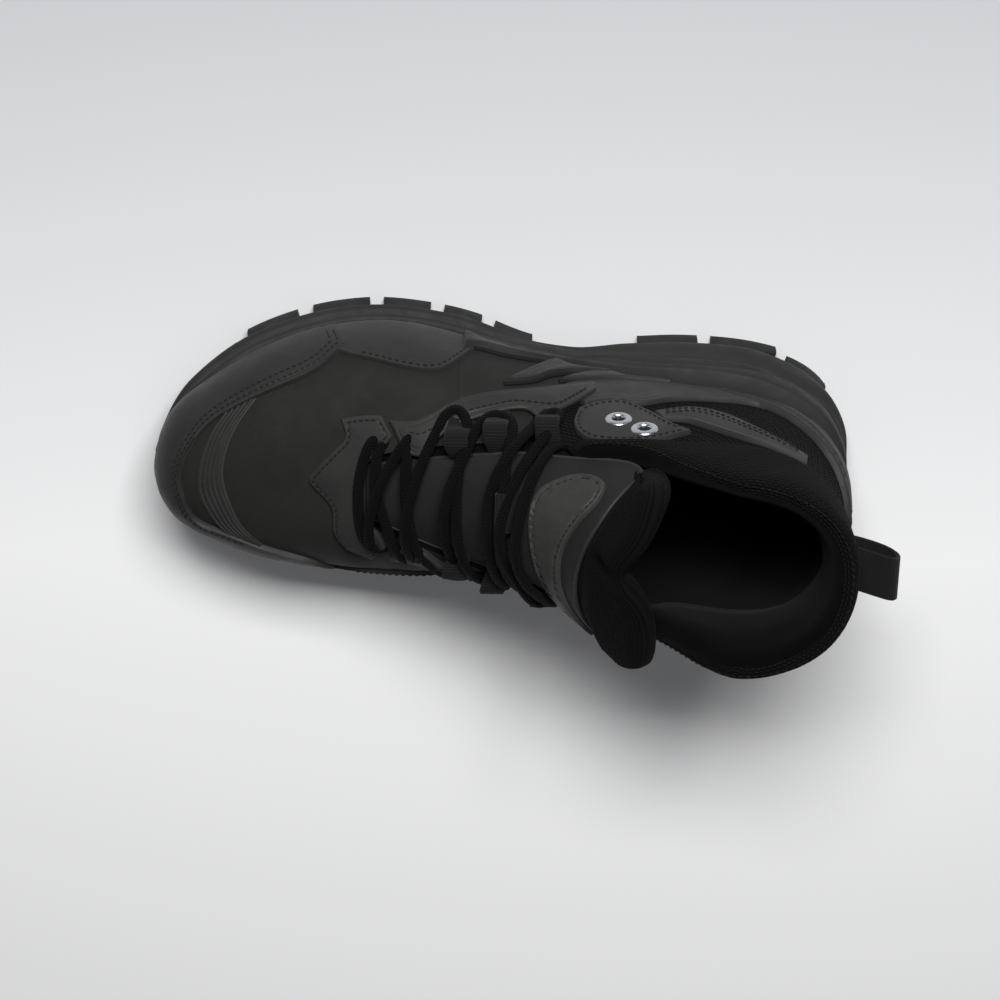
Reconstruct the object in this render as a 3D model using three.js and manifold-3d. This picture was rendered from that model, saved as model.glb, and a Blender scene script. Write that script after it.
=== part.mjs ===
// Mid-cut sneaker boot, right shoe, standing empty on its sole. Millimetres, +X to the toe, +Z up.
// The outer side of the foot is -Y and the inner side is +Y.
import * as THREE from 'three';
import { mergeVertices } from 'three/addons/utils/BufferGeometryUtils.js';
import Module from 'manifold-3d';

const wasm = await Module();
wasm.setup();

// Driving dimensions
const SHOE_LENGTH = 300;       // sole, heel to toe
const BALL_WIDTH = 104.5;      // upper across the ball
const SOLE_WIDTH = 113;        // sole across the ball
const HEEL_SEAT = 28;          // underside of the upper above the floor, at the heel
const INSTEP_RISE = 88;        // height of the foot part at the instep
const COLLAR_RISE = 123;       // heel seat to the collar's top edge at the back
const TOE_SPRING = 13;
const ARCH_RISE = 9;
const HEEL_BEVEL = 4;

// Thicknesses and clearances
const WALL = 2.2;              // upper
const GAP = 0.3;               // between neighbours
const PANEL = 1.6;             // stitched overlays
const GUARD = 2.2;             // moulded toe cap and heel counter
const INSOLE = 5;
const TONGUE = 5.5;
const PATCH = 1.2;
const COLLAR_OUT = 2.4;        // padded collar, outside the upper's surface
const COLLAR_IN = 6;           // padded collar, inside the upper's surface
const PLATE = 4;               // outsole without its lugs
const LUG_DEPTH = 5;
const LUG_WRAP = 6;            // side lugs climb this far past the plate's lower face
const LUG_STEP = 2.2;          // side lugs stand this far proud of the sole's side
const LUG_REACH = 15;          // side lugs reach this far in under the sole
const LUG_TAPER = 2.5;         // side lugs narrow by this at their inner end
const LUG_ROOT = 1;            // middle lugs run this far into the plate
const LUG_TIP = 0.35;          // length of a middle lug's arrow, as a share of half the lug's
const PLATE_INSET = 1.5;       // plate's lower edge back from the sole's edge
const MARGIN_SHARE = 0.8;      // half width of the opening underneath the upper, of the section's own
const MARGIN_LONG = 0.94;      // length of the same opening, of the foot's own
const FOOT_ROWS = 14;          // sections that stand on the sole

// Fittings
const LACE = 4.6;
const EYELET_RADIUS = 5.4;
const EYELET_HOLE = 2.6;
const EYELET_THICK = 1.2;
const LOOP_WIDTH = 9;
const LOOP_THICK = 1.1;         // one layer of a lace loop's webbing
const LOOP_REACH = 9;
const EYESTAY_RIM = 0.8;       // eyestay's edge back from the throat's
const LOOP_LAP = 0.5;          // lace loops reach this far past the throat's edge
const KEEPER = 1.0;
const KEEPER_LONG = 6;
const KEEPER_WIDE = 18;
const KEEPER_X = 0.478;        // share of SHOE_LENGTH
const KEEPER_Y = -0.03;        // share of BALL_WIDTH
const PULL_WIDTH = 19;
const PULL_REACH = 21;
const PULL_THICK = 1.5;
const PULL_TALL = 13;
const PULL_DROP = 2;           // its outer end hangs this much lower
const PULL_HEIGHT = 0.78;      // share of the collar rise
const PULL_ROW = 16;           // section that it is sewn to

const AROUND = 24;             // points round a section
const RING_STEP = 1.0;         // rings are this many table rows apart
const FAR = 400;
const BEHIND = -30;            // cuts start behind the heel
const CUT_STEPS = 16;          // straight pieces in a cut that follows a curve

const rad = THREE.MathUtils.degToRad;
const { clamp, lerp } = THREE.MathUtils;

// Names the columns of a table
function table(columns, rows) {
  return rows.map((row) => Object.fromEntries(columns.map((name, k) => [name, row[k]])));
}

function catmull(a, b, c, d, f) {
  const linear = c - a;
  const square = 2 * a - 5 * b + 4 * c - d;
  const cube = 3 * b - a - 3 * c + d;
  return 0.5 * (2 * b + linear * f + square * f * f + cube * f * f * f);
}

// Row of a table at a fractional index, smooth through the rows
function rowAt(rows, t) {
  const last = rows.length - 1;
  const k = clamp(Math.floor(t), 0, last - 1);
  const f = t - k;
  const out = {};
  for (const name of Object.keys(rows[0])) {
    const b = rows[k][name];
    const c = rows[k + 1][name];
    const a = k > 0 ? rows[k - 1][name] : 2 * b - c;
    const d = k < last - 1 ? rows[k + 2][name] : 2 * c - b;
    out[name] = catmull(a, b, c, d, f);
  }
  return out;
}

// Fractional index in a table whose x column holds shares of the length
function indexAt(rows, share) {
  const last = rows.length - 1;
  let k = 0;
  while (k < last - 1 && rows[k + 1].x < share) k += 1;
  return k + clamp((share - rows[k].x) / (rows[k + 1].x - rows[k].x), 0, 1);
}

// Value along the shoe, smooth through the table's rows
function along(rows, name, x) {
  return rowAt(rows, indexAt(rows, x / SHOE_LENGTH))[name];
}

// Value along the shoe that is level at each row, so that level stretches stay level
function ramp(rows, name, x) {
  const place = indexAt(rows, x / SHOE_LENGTH);
  const k = Math.min(Math.floor(place), rows.length - 2);
  const f = place - k;
  return lerp(rows[k][name], rows[k + 1][name], f * f * (3 - 2 * f));
}

// Sections of the last, from the toe tip back over the instep, then fanned up the shaft.
// top and low: the section's highest and lowest points. x: shares of SHOE_LENGTH. topRise: share of
// INSTEP_RISE. lift: share of HEEL_SEAT. lowRise: share of COLLAR_RISE. outer, inner, swing: half
// widths and sideways place as shares of BALL_WIDTH. belly: where the section is widest.
const SECTIONS = table(
  ['topX', 'topRise', 'lowX', 'lowRise', 'lift', 'outer', 'inner', 'swing', 'belly', 'lowPower', 'topPower'],
  [
    [0.983, 0.125, 0.983, 0, 1.18, 0.048, 0.048, -0.005, 0.45, 2.4, 2.2],
    [0.973, 0.240, 0.973, 0, 1.07, 0.153, 0.134, -0.005, 0.38, 3.0, 2.2],
    [0.950, 0.330, 0.950, 0, 1.00, 0.258, 0.210, 0.000, 0.33, 3.4, 2.3],
    [0.903, 0.410, 0.903, 0, 0.93, 0.364, 0.278, 0.003, 0.28, 3.8, 2.5],
    [0.843, 0.495, 0.843, 0, 0.84, 0.469, 0.344, 0.004, 0.24, 4.0, 2.5],
    [0.773, 0.570, 0.773, 0, 0.75, 0.545, 0.392, 0.000, 0.22, 4.0, 2.4],
    [0.700, 0.660, 0.700, 0, 0.68, 0.574, 0.426, -0.010, 0.20, 4.0, 2.3],
    [0.627, 0.760, 0.630, 0, 0.68, 0.560, 0.435, -0.024, 0.20, 4.0, 2.2],
    [0.560, 0.875, 0.557, 0, 0.71, 0.512, 0.411, -0.029, 0.20, 4.0, 2.1],
    [0.503, 1.000, 0.477, 0, 0.79, 0.455, 0.392, -0.029, 0.22, 4.0, 2.1],
    [0.460, 1.100, 0.383, 0, 0.86, 0.411, 0.383, -0.024, 0.27, 4.0, 2.2],
    [0.423, 1.190, 0.280, 0, 0.93, 0.400, 0.383, -0.014, 0.34, 3.8, 2.4],
    [0.393, 1.270, 0.160, 0, 1.00, 0.397, 0.383, -0.010, 0.42, 3.2, 2.6],
    [0.367, 1.375, 0.053, 0.065, 1.00, 0.395, 0.388, 0.000, 0.50, 2.6, 2.7],
    [0.347, 1.455, 0.020, 0.260, 1.00, 0.392, 0.392, 0.000, 0.56, 2.3, 2.8],
    [0.333, 1.530, 0.027, 0.488, 1.00, 0.397, 0.402, 0.000, 0.60, 2.2, 2.8],
    [0.323, 1.600, 0.040, 0.715, 1.00, 0.402, 0.411, 0.000, 0.62, 2.2, 2.8],
    [0.317, 1.670, 0.040, 0.927, 1.00, 0.411, 0.421, 0.000, 0.62, 2.2, 2.8],
    [0.313, 1.740, 0.033, 1.114, 1.00, 0.421, 0.431, 0.000, 0.62, 2.2, 2.8],
  ],
);
const LAST_ROW = SECTIONS.length - 1;

// Sole edge, from the heel back to the toe tip: x as a share of SHOE_LENGTH, sides as shares of SOLE_WIDTH
const SOLE_EDGE = table(['x', 'outer', 'inner'], [
  [-0.005, 0.000, 0.000],
  [0.000, -0.124, 0.115],
  [0.020, -0.240, 0.225],
  [0.047, -0.314, 0.292],
  [0.090, -0.372, 0.336],
  [0.157, -0.412, 0.354],
  [0.240, -0.425, 0.345],
  [0.323, -0.416, 0.319],
  [0.407, -0.425, 0.305],
  [0.490, -0.465, 0.319],
  [0.573, -0.527, 0.363],
  [0.657, -0.558, 0.420],
  [0.723, -0.549, 0.447],
  [0.790, -0.509, 0.434],
  [0.857, -0.442, 0.385],
  [0.913, -0.341, 0.301],
  [0.957, -0.230, 0.204],
  [0.983, -0.124, 0.115],
  [0.998, -0.009, -0.009],
]);
const SOLE_ROW = SOLE_EDGE.length - 1;

// Underside of the lugs above the floor, as shares of the toe spring, arch rise and heel bevel
const GROUND = table(['x', 'toe', 'arch', 'heel'], [
  [-0.02, 0, 0, 1],
  [0.06, 0, 0, 0],
  [0.31, 0, 0, 0],
  [0.40, 0, 1, 0],
  [0.45, 0, 1, 0],
  [0.54, 0, 0, 0],
  [0.76, 0, 0, 0],
  [0.88, 0.3, 0, 0],
  [1.00, 1, 0, 0],
]);

// Top edge of the midsole, as a share of the heel seat
const BITE = table(['x', 'height'], [
  [-0.02, 1.72],
  [0.13, 1.54],
  [0.27, 1.32],
  [0.37, 1.02],
  [0.55, 0.84],
  [0.72, 0.84],
  [0.83, 0.98],
  [0.93, 1.16],
  [1.01, 1.26],
]);

// Collar: its top edge and the seam below its padding, as shares of the collar rise
const COLLAR_LINE = table(['x', 'top', 'seam'], [
  [-0.05, 1.000, 0.690],
  [0.10, 1.000, 0.675],
  [0.19, 0.975, 0.650],
  [0.247, 0.860, 0.630],
  [0.30, 0.730, 0.620],
  [0.35, 0.675, 0.600],
  [0.43, 0.635, 0.550],
]);

const COLLAR_FRONT = 0.425;

function ground(x) {
  const toe = TOE_SPRING * ramp(GROUND, 'toe', x);
  const arch = ARCH_RISE * ramp(GROUND, 'arch', x);
  return toe + arch + HEEL_BEVEL * ramp(GROUND, 'heel', x);
}

function bite(x) {
  return HEEL_SEAT * along(BITE, 'height', x);
}

function collarTop(x) {
  return HEEL_SEAT + COLLAR_RISE * along(COLLAR_LINE, 'top', x);
}

function collarSeam(x) {
  return HEEL_SEAT + COLLAR_RISE * along(COLLAR_LINE, 'seam', x);
}

// Point of the last's surface. angle 0 is the section's lowest point, a quarter turn its outer side
function lastPoint(t, angle) {
  const row = rowAt(SECTIONS, t);
  const low = new THREE.Vector3(row.lowX * SHOE_LENGTH, 0, row.lift * HEEL_SEAT + row.lowRise * COLLAR_RISE);
  const top = new THREE.Vector3(row.topX * SHOE_LENGTH, 0, row.lift * HEEL_SEAT + row.topRise * INSTEP_RISE);
  const c = Math.cos(angle);
  const s = Math.sin(angle);
  const power = c > 0 ? row.lowPower : row.topPower;
  const across = Math.sign(s) * Math.abs(s) ** (2 / power);
  const upright = Math.abs(c) ** (2 / power);
  const share = c > 0 ? row.belly * (1 - upright) : row.belly + (1 - row.belly) * upright;
  const half = s > 0 ? row.outer : row.inner;
  const point = low.lerp(top, share);
  point.y = BALL_WIDTH * (row.swing - half * across);
  return point;
}

// The same point moved out along the surface's normal
function grownPoint(t, angle, grow) {
  const turn = 0.03;
  const step = 0.05;
  const ahead = lastPoint(Math.min(t + step, LAST_ROW), angle);
  const behind = lastPoint(Math.max(t - step, 0), angle);
  const lengthwise = ahead.sub(behind);
  const round = lastPoint(t, angle + turn).sub(lastPoint(t, angle - turn));
  const normal = round.cross(lengthwise).normalize();
  return lastPoint(t, angle).addScaledVector(normal, grow);
}

function solid(geometry) {
  const bare = geometry.clone();
  bare.deleteAttribute('normal');
  bare.deleteAttribute('uv');
  const merged = mergeVertices(bare, 1e-4);
  const vertProperties = new Float32Array(merged.attributes.position.array);
  const triVerts = new Uint32Array(merged.index.array);
  return new wasm.Manifold(new wasm.Mesh({ numProp: 3, vertProperties, triVerts }));
}

function gridSolid(points, faces) {
  const geometry = new THREE.BufferGeometry();
  const flat = points.flatMap((p) => [p.x, p.y, p.z]);
  geometry.setAttribute('position', new THREE.Float32BufferAttribute(flat, 3));
  geometry.setIndex(faces.flat());
  return solid(geometry);
}

// Rings of equal count joined in a row, with a fan to a point at each end
function ringSolid(rings) {
  const count = rings[0].length;
  const points = rings.flat();
  const faces = [];
  for (let r = 0; r < rings.length - 1; r += 1) {
    for (let k = 0; k < count; k += 1) {
      const next = (k + 1) % count;
      const a = r * count + k;
      const b = r * count + next;
      const c = (r + 1) * count + next;
      const d = (r + 1) * count + k;
      faces.push([a, b, c], [a, c, d]);
    }
  }
  for (const [ring, flip] of [[0, true], [rings.length - 1, false]]) {
    const centre = new THREE.Vector3();
    for (const p of rings[ring]) centre.addScaledVector(p, 1 / count);
    points.push(centre);
    for (let k = 0; k < count; k += 1) {
      const a = ring * count + k;
      const b = ring * count + ((k + 1) % count);
      faces.push(flip ? [b, a, points.length - 1] : [a, b, points.length - 1]);
    }
  }
  return gridSolid(points, faces);
}

// The whole last, grown by an amount
function last(grow) {
  const rings = [];
  const steps = Math.round(LAST_ROW / RING_STEP);
  for (let r = 0; r <= steps; r += 1) {
    const t = (r * LAST_ROW) / steps;
    const ring = [];
    for (let k = 0; k < AROUND; k += 1) ring.push(grownPoint(t, (k * 2 * Math.PI) / AROUND, grow));
    rings.push(ring);
  }
  return ringSolid(rings);
}

// A straight prism through the shoe, seen from the side (x, z) or from above (x, y)
function sidePrism(outline, from, to) {
  const shape = new THREE.Shape(outline.map(([x, z]) => new THREE.Vector2(x, z)));
  const geometry = new THREE.ExtrudeGeometry(shape, { depth: to - from, bevelEnabled: false });
  geometry.rotateX(rad(90));
  geometry.translate(0, to, 0);
  return solid(geometry);
}

function planPrism(outline, from, to) {
  const shape = new THREE.Shape(outline.map(([x, y]) => new THREE.Vector2(x, y)));
  const geometry = new THREE.ExtrudeGeometry(shape, { depth: to - from, bevelEnabled: false });
  geometry.translate(0, 0, from);
  return solid(geometry);
}

// Smooth closed outline through a few points, given as shares of length and of a width or height
function smoothOutline(points, lengthUnit, otherUnit, base = 0, steps = 2) {
  const curve = new THREE.CatmullRomCurve3(
    points.map(([x, v]) => new THREE.Vector3(x * lengthUnit, base + v * otherUnit, 0)),
    true,
    'catmullrom',
    0.5,
  );
  return curve.getPoints(points.length * steps).slice(0, -1).map((p) => [p.x, p.y]);
}

// Side-view strip between two heights that are functions of x
function band(lower, upper, fromX, toX, steps = 14) {
  const outline = [];
  for (let k = 0; k <= steps; k += 1) {
    const x = lerp(fromX, toX, k / steps);
    outline.push([x, lower(x)]);
  }
  for (let k = steps; k >= 0; k -= 1) {
    const x = lerp(fromX, toX, k / steps);
    outline.push([x, upper(x)]);
  }
  return outline;
}

// The largest body of a solid, without slivers left by a cut
function mainBody(whole) {
  const bodies = whole.decompose();
  return bodies.reduce((best, body) => (body.volume() > best.volume() ? body : best));
}

// Lengthwise edge of the sole at a station, moved outwards in plan
function soleLoop(out, stations) {
  const outer = [];
  const inner = [];
  for (let k = 0; k <= stations; k += 1) {
    const row = rowAt(SOLE_EDGE, (k * SOLE_ROW) / stations);
    outer.push(new THREE.Vector2(row.x * SHOE_LENGTH, row.outer * SOLE_WIDTH));
    if (k > 0 && k < stations) inner.push(new THREE.Vector2(row.x * SHOE_LENGTH, row.inner * SOLE_WIDTH));
  }
  const loop = [...outer, ...inner.reverse()];
  return loop.map((p, k) => {
    const before = loop[(k + loop.length - 1) % loop.length];
    const after = loop[(k + 1) % loop.length];
    const tangent = after.clone().sub(before).normalize();
    return new THREE.Vector3(p.x + tangent.y * out, p.y - tangent.x * out, p.x);
  });
}

// Sole body from levels: each has a height function of x and an amount that its edge stands out.
// The loop's z holds the station's own x, which sets the height.
function soleLoft(levels, stations = 20) {
  const points = [];
  const faces = [];
  const count = stations * 2;
  for (const level of levels) {
    for (const p of soleLoop(level.out, stations)) points.push(new THREE.Vector3(p.x, p.y, level.height(p.z)));
  }
  for (let r = 0; r < levels.length - 1; r += 1) {
    for (let k = 0; k < count; k += 1) {
      const next = (k + 1) % count;
      const a = r * count + k;
      const b = r * count + next;
      const c = (r + 1) * count + next;
      const d = (r + 1) * count + k;
      faces.push([a, b, c], [a, c, d]);
    }
  }
  const topRow = (levels.length - 1) * count;
  for (const [row, flip] of [[0, true], [topRow, false]]) {
    for (let k = 0; k < stations; k += 1) {
      const outerA = row + k;
      const outerB = row + k + 1;
      const innerA = row + ((count - k) % count);
      const innerB = row + count - k - 1;
      const fan = [];
      if (k < stations - 1) fan.push([outerA, outerB, innerB]);
      if (k > 0) fan.push(k < stations - 1 ? [outerA, innerB, innerA] : [outerA, outerB, innerA]);
      for (const face of fan) faces.push(flip ? [...face].reverse() : face);
    }
  }
  return gridSolid(points, faces);
}

// Height a share of the way from the midsole's underside to the bite line
const plateTop = (x) => ground(x) + LUG_DEPTH + PLATE;
const midsoleUnder = (x) => plateTop(x) + GAP;
const sideHeight = (share) => (x) => lerp(midsoleUnder(x), bite(x), share);

// Steps and ribs of the midsole's side: share of its height, and how far the edge stands out
const MIDSOLE_SIDE = table(['share', 'out'], [
  [0.00, -1.4],
  [0.14, -0.2],
  [0.40, 0.3],
  [0.46, -0.9],
  [0.64, -1.0],
  [0.72, 0.3],
  [0.90, 0.5],
  [1.00, -0.6],
]);

function midsole() {
  const levels = MIDSOLE_SIDE.map((row) => ({ height: sideHeight(row.share), out: row.out }));
  return mainBody(soleLoft(levels).subtract(last(GAP)));
}

// Room that the outsole leaves for the midsole
function midsoleRoom() {
  const out = Math.max(...MIDSOLE_SIDE.map((row) => row.out)) + GAP;
  return soleLoft([{ height: plateTop, out }, { height: bite, out }]);
}

// Side lugs: the stretch that each covers, as shares of the length, and the place of its corner in it
const SIDE_LUGS = table(['from', 'to', 'nose'], [
  [0.025, 0.083, 0.3],
  [0.103, 0.197, 0.5],
  [0.217, 0.303, 0.5],
  [0.457, 0.510, 0.5],
  [0.530, 0.583, 0.5],
  [0.603, 0.670, 0.5],
  [0.690, 0.770, 0.5],
  [0.793, 0.863, 0.5],
  [0.885, 0.940, 0.5],
]);

// Middle lugs: centre as shares of the length and of the sole's width, and size as shares of the same
const MIDDLE_LUGS = table(['x', 'y', 'long', 'wide'], [
  [0.085, -0.10, 0.055, 0.14],
  [0.085, 0.08, 0.055, 0.14],
  [0.165, -0.02, 0.050, 0.20],
  [0.240, -0.11, 0.055, 0.13],
  [0.240, 0.06, 0.055, 0.13],
  [0.555, -0.15, 0.055, 0.14],
  [0.555, 0.04, 0.055, 0.14],
  [0.630, -0.18, 0.050, 0.15],
  [0.630, 0.08, 0.050, 0.15],
  [0.630, -0.05, 0.050, 0.09],
  [0.705, -0.18, 0.055, 0.15],
  [0.705, 0.09, 0.055, 0.15],
  [0.705, -0.045, 0.055, 0.10],
  [0.780, -0.14, 0.055, 0.14],
  [0.780, 0.08, 0.055, 0.14],
  [0.855, -0.06, 0.050, 0.20],
]);

// Edge of the sole on one side at a place along it, moved outwards
function edgeAt(x, side, out) {
  const rows = SOLE_EDGE;
  let k = 0;
  while (k < SOLE_ROW - 1 && rows[k + 1].x * SHOE_LENGTH < x) k += 1;
  const name = side < 0 ? 'outer' : 'inner';
  const a = new THREE.Vector2(rows[k].x * SHOE_LENGTH, rows[k][name] * SOLE_WIDTH);
  const b = new THREE.Vector2(rows[k + 1].x * SHOE_LENGTH, rows[k + 1][name] * SOLE_WIDTH);
  const f = clamp((x - a.x) / (b.x - a.x), 0, 1);
  const p = a.clone().lerp(b, f);
  const tangent = b.sub(a).normalize();
  return [p.x - side * tangent.y * out, p.y + side * tangent.x * out];
}

// Prism from an outline in plan whose lower face follows the ground
function groundPrism(outline, height) {
  const shape = new THREE.Shape(outline.map(([x, y]) => new THREE.Vector2(x, y)));
  const geometry = new THREE.ExtrudeGeometry(shape, { depth: height, bevelEnabled: false });
  const place = geometry.attributes.position;
  for (let k = 0; k < place.count; k += 1) {
    place.setZ(k, place.getZ(k) + ground(place.getX(k)));
  }
  return solid(geometry);
}

function sideLug(row, side) {
  const from = row.from * SHOE_LENGTH;
  const to = row.to * SHOE_LENGTH;
  const middle = lerp(from, to, row.nose);
  const outline = [
    edgeAt(from, side, LUG_STEP),
    edgeAt(middle, side, LUG_STEP),
    edgeAt(to, side, LUG_STEP),
    edgeAt(to - LUG_TAPER, side, -LUG_REACH),
    edgeAt(middle, side, -LUG_REACH - LUG_TAPER),
    edgeAt(from + LUG_TAPER, side, -LUG_REACH),
  ];
  if (side > 0) outline.reverse();
  return groundPrism(outline, LUG_DEPTH + LUG_WRAP);
}

// Arrow-shaped lug pointing to the toe
function middleLug(row) {
  const x = row.x * SHOE_LENGTH;
  const y = row.y * SOLE_WIDTH;
  const long = (row.long * SHOE_LENGTH) / 2;
  const wide = (row.wide * SOLE_WIDTH) / 2;
  const tip = long * LUG_TIP;
  const outline = [
    [x - long, y - wide],
    [x + long - tip, y - wide],
    [x + long, y],
    [x + long - tip, y + wide],
    [x - long, y + wide],
    [x - long + tip, y],
  ];
  return groundPrism(outline, LUG_DEPTH + LUG_ROOT);
}

function outsole() {
  const plateUnder = (x) => ground(x) + LUG_DEPTH;
  let whole = soleLoft([
    { height: plateUnder, out: -PLATE_INSET },
    { height: plateTop, out: -PLATE_INSET / 2 },
  ]);
  for (const row of SIDE_LUGS) {
    for (const side of [-1, 1]) whole = whole.add(sideLug(row, side));
  }
  for (const row of MIDDLE_LUGS) whole = whole.add(middleLug(row));
  return mainBody(whole.subtract(midsoleRoom()));
}

// Throat: centre line and half width of the opening from above
const THROAT = table(['x', 'centre', 'half'], [
  [0.687, -0.055, 0.115],
  [0.670, -0.055, 0.160],
  [0.590, -0.060, 0.225],
  [0.523, -0.050, 0.275],
  [0.465, -0.030, 0.325],
  [0.420, -0.010, 0.335],
  [0.330, 0.000, 0.340],
]);

// Edge of the throat at a share of the length
function throatEdge(share, side) {
  const x = share * SHOE_LENGTH;
  let k = 0;
  while (k < THROAT.length - 2 && THROAT[k + 1].x > share) k += 1;
  const f = clamp((share - THROAT[k].x) / (THROAT[k + 1].x - THROAT[k].x), 0, 1);
  const centre = lerp(THROAT[k].centre, THROAT[k + 1].centre, f);
  const half = lerp(THROAT[k].half, THROAT[k + 1].half, f);
  return { x, y: (centre + side * half) * BALL_WIDTH };
}

// Throat from above, widened all round by an amount
function throatOutline(extra) {
  const lengthwise = (k) => THROAT[k].x * SHOE_LENGTH + (k < 2 ? extra : -extra);
  const right = THROAT.map((r, k) => [lengthwise(k), (r.centre - r.half) * BALL_WIDTH - extra]);
  const left = THROAT.map((r, k) => [lengthwise(k), (r.centre + r.half) * BALL_WIDTH + extra]);
  return [...right, ...left.reverse()].reverse();
}

function throatCut(extra = 0) {
  return planPrism(throatOutline(extra), HEEL_SEAT + INSTEP_RISE / 3, FAR);
}

// Everything above a line that is a function of x
function above(height) {
  const front = COLLAR_FRONT * SHOE_LENGTH;
  return sidePrism(band(height, () => FAR, BEHIND, front + GAP, CUT_STEPS), -FAR / 2, FAR / 2);
}

function lastingOpening() {
  const rows = SECTIONS.slice(1, FOOT_ROWS);
  const outer = rows.map((r) => [r.lowX * SHOE_LENGTH, BALL_WIDTH * (r.swing - r.outer * MARGIN_SHARE)]);
  const inner = rows.map((r) => [r.lowX * SHOE_LENGTH, BALL_WIDTH * (r.swing + r.inner * MARGIN_SHARE)]);
  const shrink = ([x, y]) => [lerp(SHOE_LENGTH / 2, x, MARGIN_LONG), y];
  return planPrism([...outer, ...inner.reverse()].map(shrink).reverse(), -FAR, HEEL_SEAT + WALL * 3);
}

function upper() {
  const shell = last(0).subtract(last(-WALL));
  const cut = above(collarSeam).add(throatCut());
  return mainBody(shell.subtract(cut).subtract(lastingOpening()));
}

function insole() {
  const inside = last(-WALL - GAP);
  const rows = SECTIONS.slice(0, FOOT_ROWS);
  const top = rows.map((r) => [r.lowX * SHOE_LENGTH, r.lift * HEEL_SEAT + WALL + GAP + INSOLE]);
  const toeEnd = [[SHOE_LENGTH, -FAR], [SHOE_LENGTH, top[0][1]]];
  const outline = [...toeEnd, ...top, [BEHIND, top.at(-1)[1]], [BEHIND, -FAR]];
  return mainBody(inside.intersect(sidePrism(outline, -FAR / 2, FAR / 2)));
}

// Padded collar: a ring open at the throat, thicker than the upper on both sides
function collarRing(clearance) {
  const padding = last(COLLAR_OUT + clearance).subtract(last(-COLLAR_IN - clearance));
  const seam = (x) => collarSeam(x) + GAP - clearance;
  const top = (x) => collarTop(x) + clearance;
  const strip = band(seam, top, BEHIND, COLLAR_FRONT * SHOE_LENGTH, CUT_STEPS);
  return padding.intersect(sidePrism(strip, -FAR / 2, FAR / 2)).subtract(throatCut(GAP - 2 * clearance));
}

function collar() {
  return mainBody(collarRing(0));
}

// Tongue: a padded sheet just inside the throat, from under the apron to above the collar.
// depth: how much deeper its face lies than the wall's inside. half: its half width as an angle
// from the ridge. thick: share of the tongue's thickness.
const TONGUE_ROWS = table(['t', 'depth', 'half', 'thick'], [
  [5.6, 0.5, 0.34, 0.5],
  [6.2, 0.5, 0.52, 0.6],
  [7.0, 0.5, 0.62, 0.6],
  [8.0, 0.5, 0.76, 0.7],
  [9.0, 0.5, 0.86, 0.8],
  [10.0, 0.5, 0.94, 0.9],
  [11.0, 0.4, 1.00, 1.0],
  [12.0, 0.3, 1.08, 1.0],
  [13.0, -0.3, 1.16, 1.2],
  [14.0, -0.9, 1.16, 1.5],
  [14.6, -1.1, 1.06, 1.5],
  [15.0, -0.7, 0.80, 1.2],
]);

// Closed sheet on the last between two depths, over a range of rows and angles
function sheet(rows, face, back, across = 8) {
  const rings = [];
  for (const row of rows) {
    const front = [];
    const rear = [];
    for (let k = 0; k <= across; k += 1) {
      const s = (2 * k) / across - 1;
      const angle = Math.PI + s * row.half;
      const edge = Math.sqrt(Math.max(0, 1 - Math.abs(s) ** 4));
      const middle = (face(row) + back(row)) / 2;
      front.push(grownPoint(row.t, angle, lerp(middle, face(row), edge)));
      if (k > 0 && k < across) rear.push(grownPoint(row.t, angle, lerp(middle, back(row), edge)));
    }
    rings.push([...front, ...rear.reverse()]);
  }
  return ringSolid(rings);
}

function tongueSheet(clearance) {
  const inside = -WALL - GAP;
  return sheet(TONGUE_ROWS, (r) => inside + clearance - r.depth, (r) => inside - r.depth - r.thick * TONGUE);
}

function tongue() {
  return mainBody(tongueSheet(0).subtract(collarRing(GAP)));
}

// Stitched patch on the tongue's face
const PATCH_ROWS = table(['t', 'depth', 'half'], [
  [11.2, 0.4, 0.55],
  [11.6, 0.4, 0.72],
  [12.4, 0.1, 0.82],
  [13.2, -0.4, 0.84],
  [13.7, -0.7, 0.70],
  [13.9, -0.8, 0.45],
]);

function tonguePatch() {
  const inside = -WALL - GAP;
  const raised = sheet(PATCH_ROWS, (r) => inside + GAP + PATCH - r.depth, (r) => inside - r.depth, 6);
  return mainBody(raised.subtract(tongueSheet(GAP)));
}

// Overlays, cut from a shell that lies on the upper and ends at the bite line
function overlayShell(thickness) {
  const shell = last(GAP + thickness).subtract(last(GAP));
  const edge = (x) => bite(x) + 3 * GAP;
  const below = band(() => -FAR, edge, BEHIND, SHOE_LENGTH + HEEL_SEAT, CUT_STEPS);
  return shell.subtract(sidePrism(below, -FAR / 2, FAR / 2));
}

const panelShell = overlayShell(PANEL);
const guardShell = overlayShell(GUARD);

function sidePanel(shell, outline, side) {
  const from = side < 0 ? -FAR / 2 : 0;
  const to = side < 0 ? 0 : FAR / 2;
  return mainBody(shell.intersect(sidePrism(outline, from, to)));
}

// Toe cap: its upper edge from above, as shares of the length and of the ball width
const TOE_CAP_EDGE = [
  [0.735, -0.75],
  [0.725, -0.56],
  [0.765, -0.475],
  [0.840, -0.375],
  [0.900, -0.265],
  [0.935, -0.130],
  [0.945, -0.010],
  [0.930, 0.110],
  [0.890, 0.200],
  [0.815, 0.285],
  [0.755, 0.360],
  [0.745, 0.75],
  [1.10, 0.75],
  [1.10, -0.75],
];

function toeCap() {
  const outline = TOE_CAP_EDGE.map(([x, y]) => [x * SHOE_LENGTH, y * BALL_WIDTH]).reverse();
  return mainBody(guardShell.intersect(planPrism(outline, 0, FAR)));
}

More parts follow.
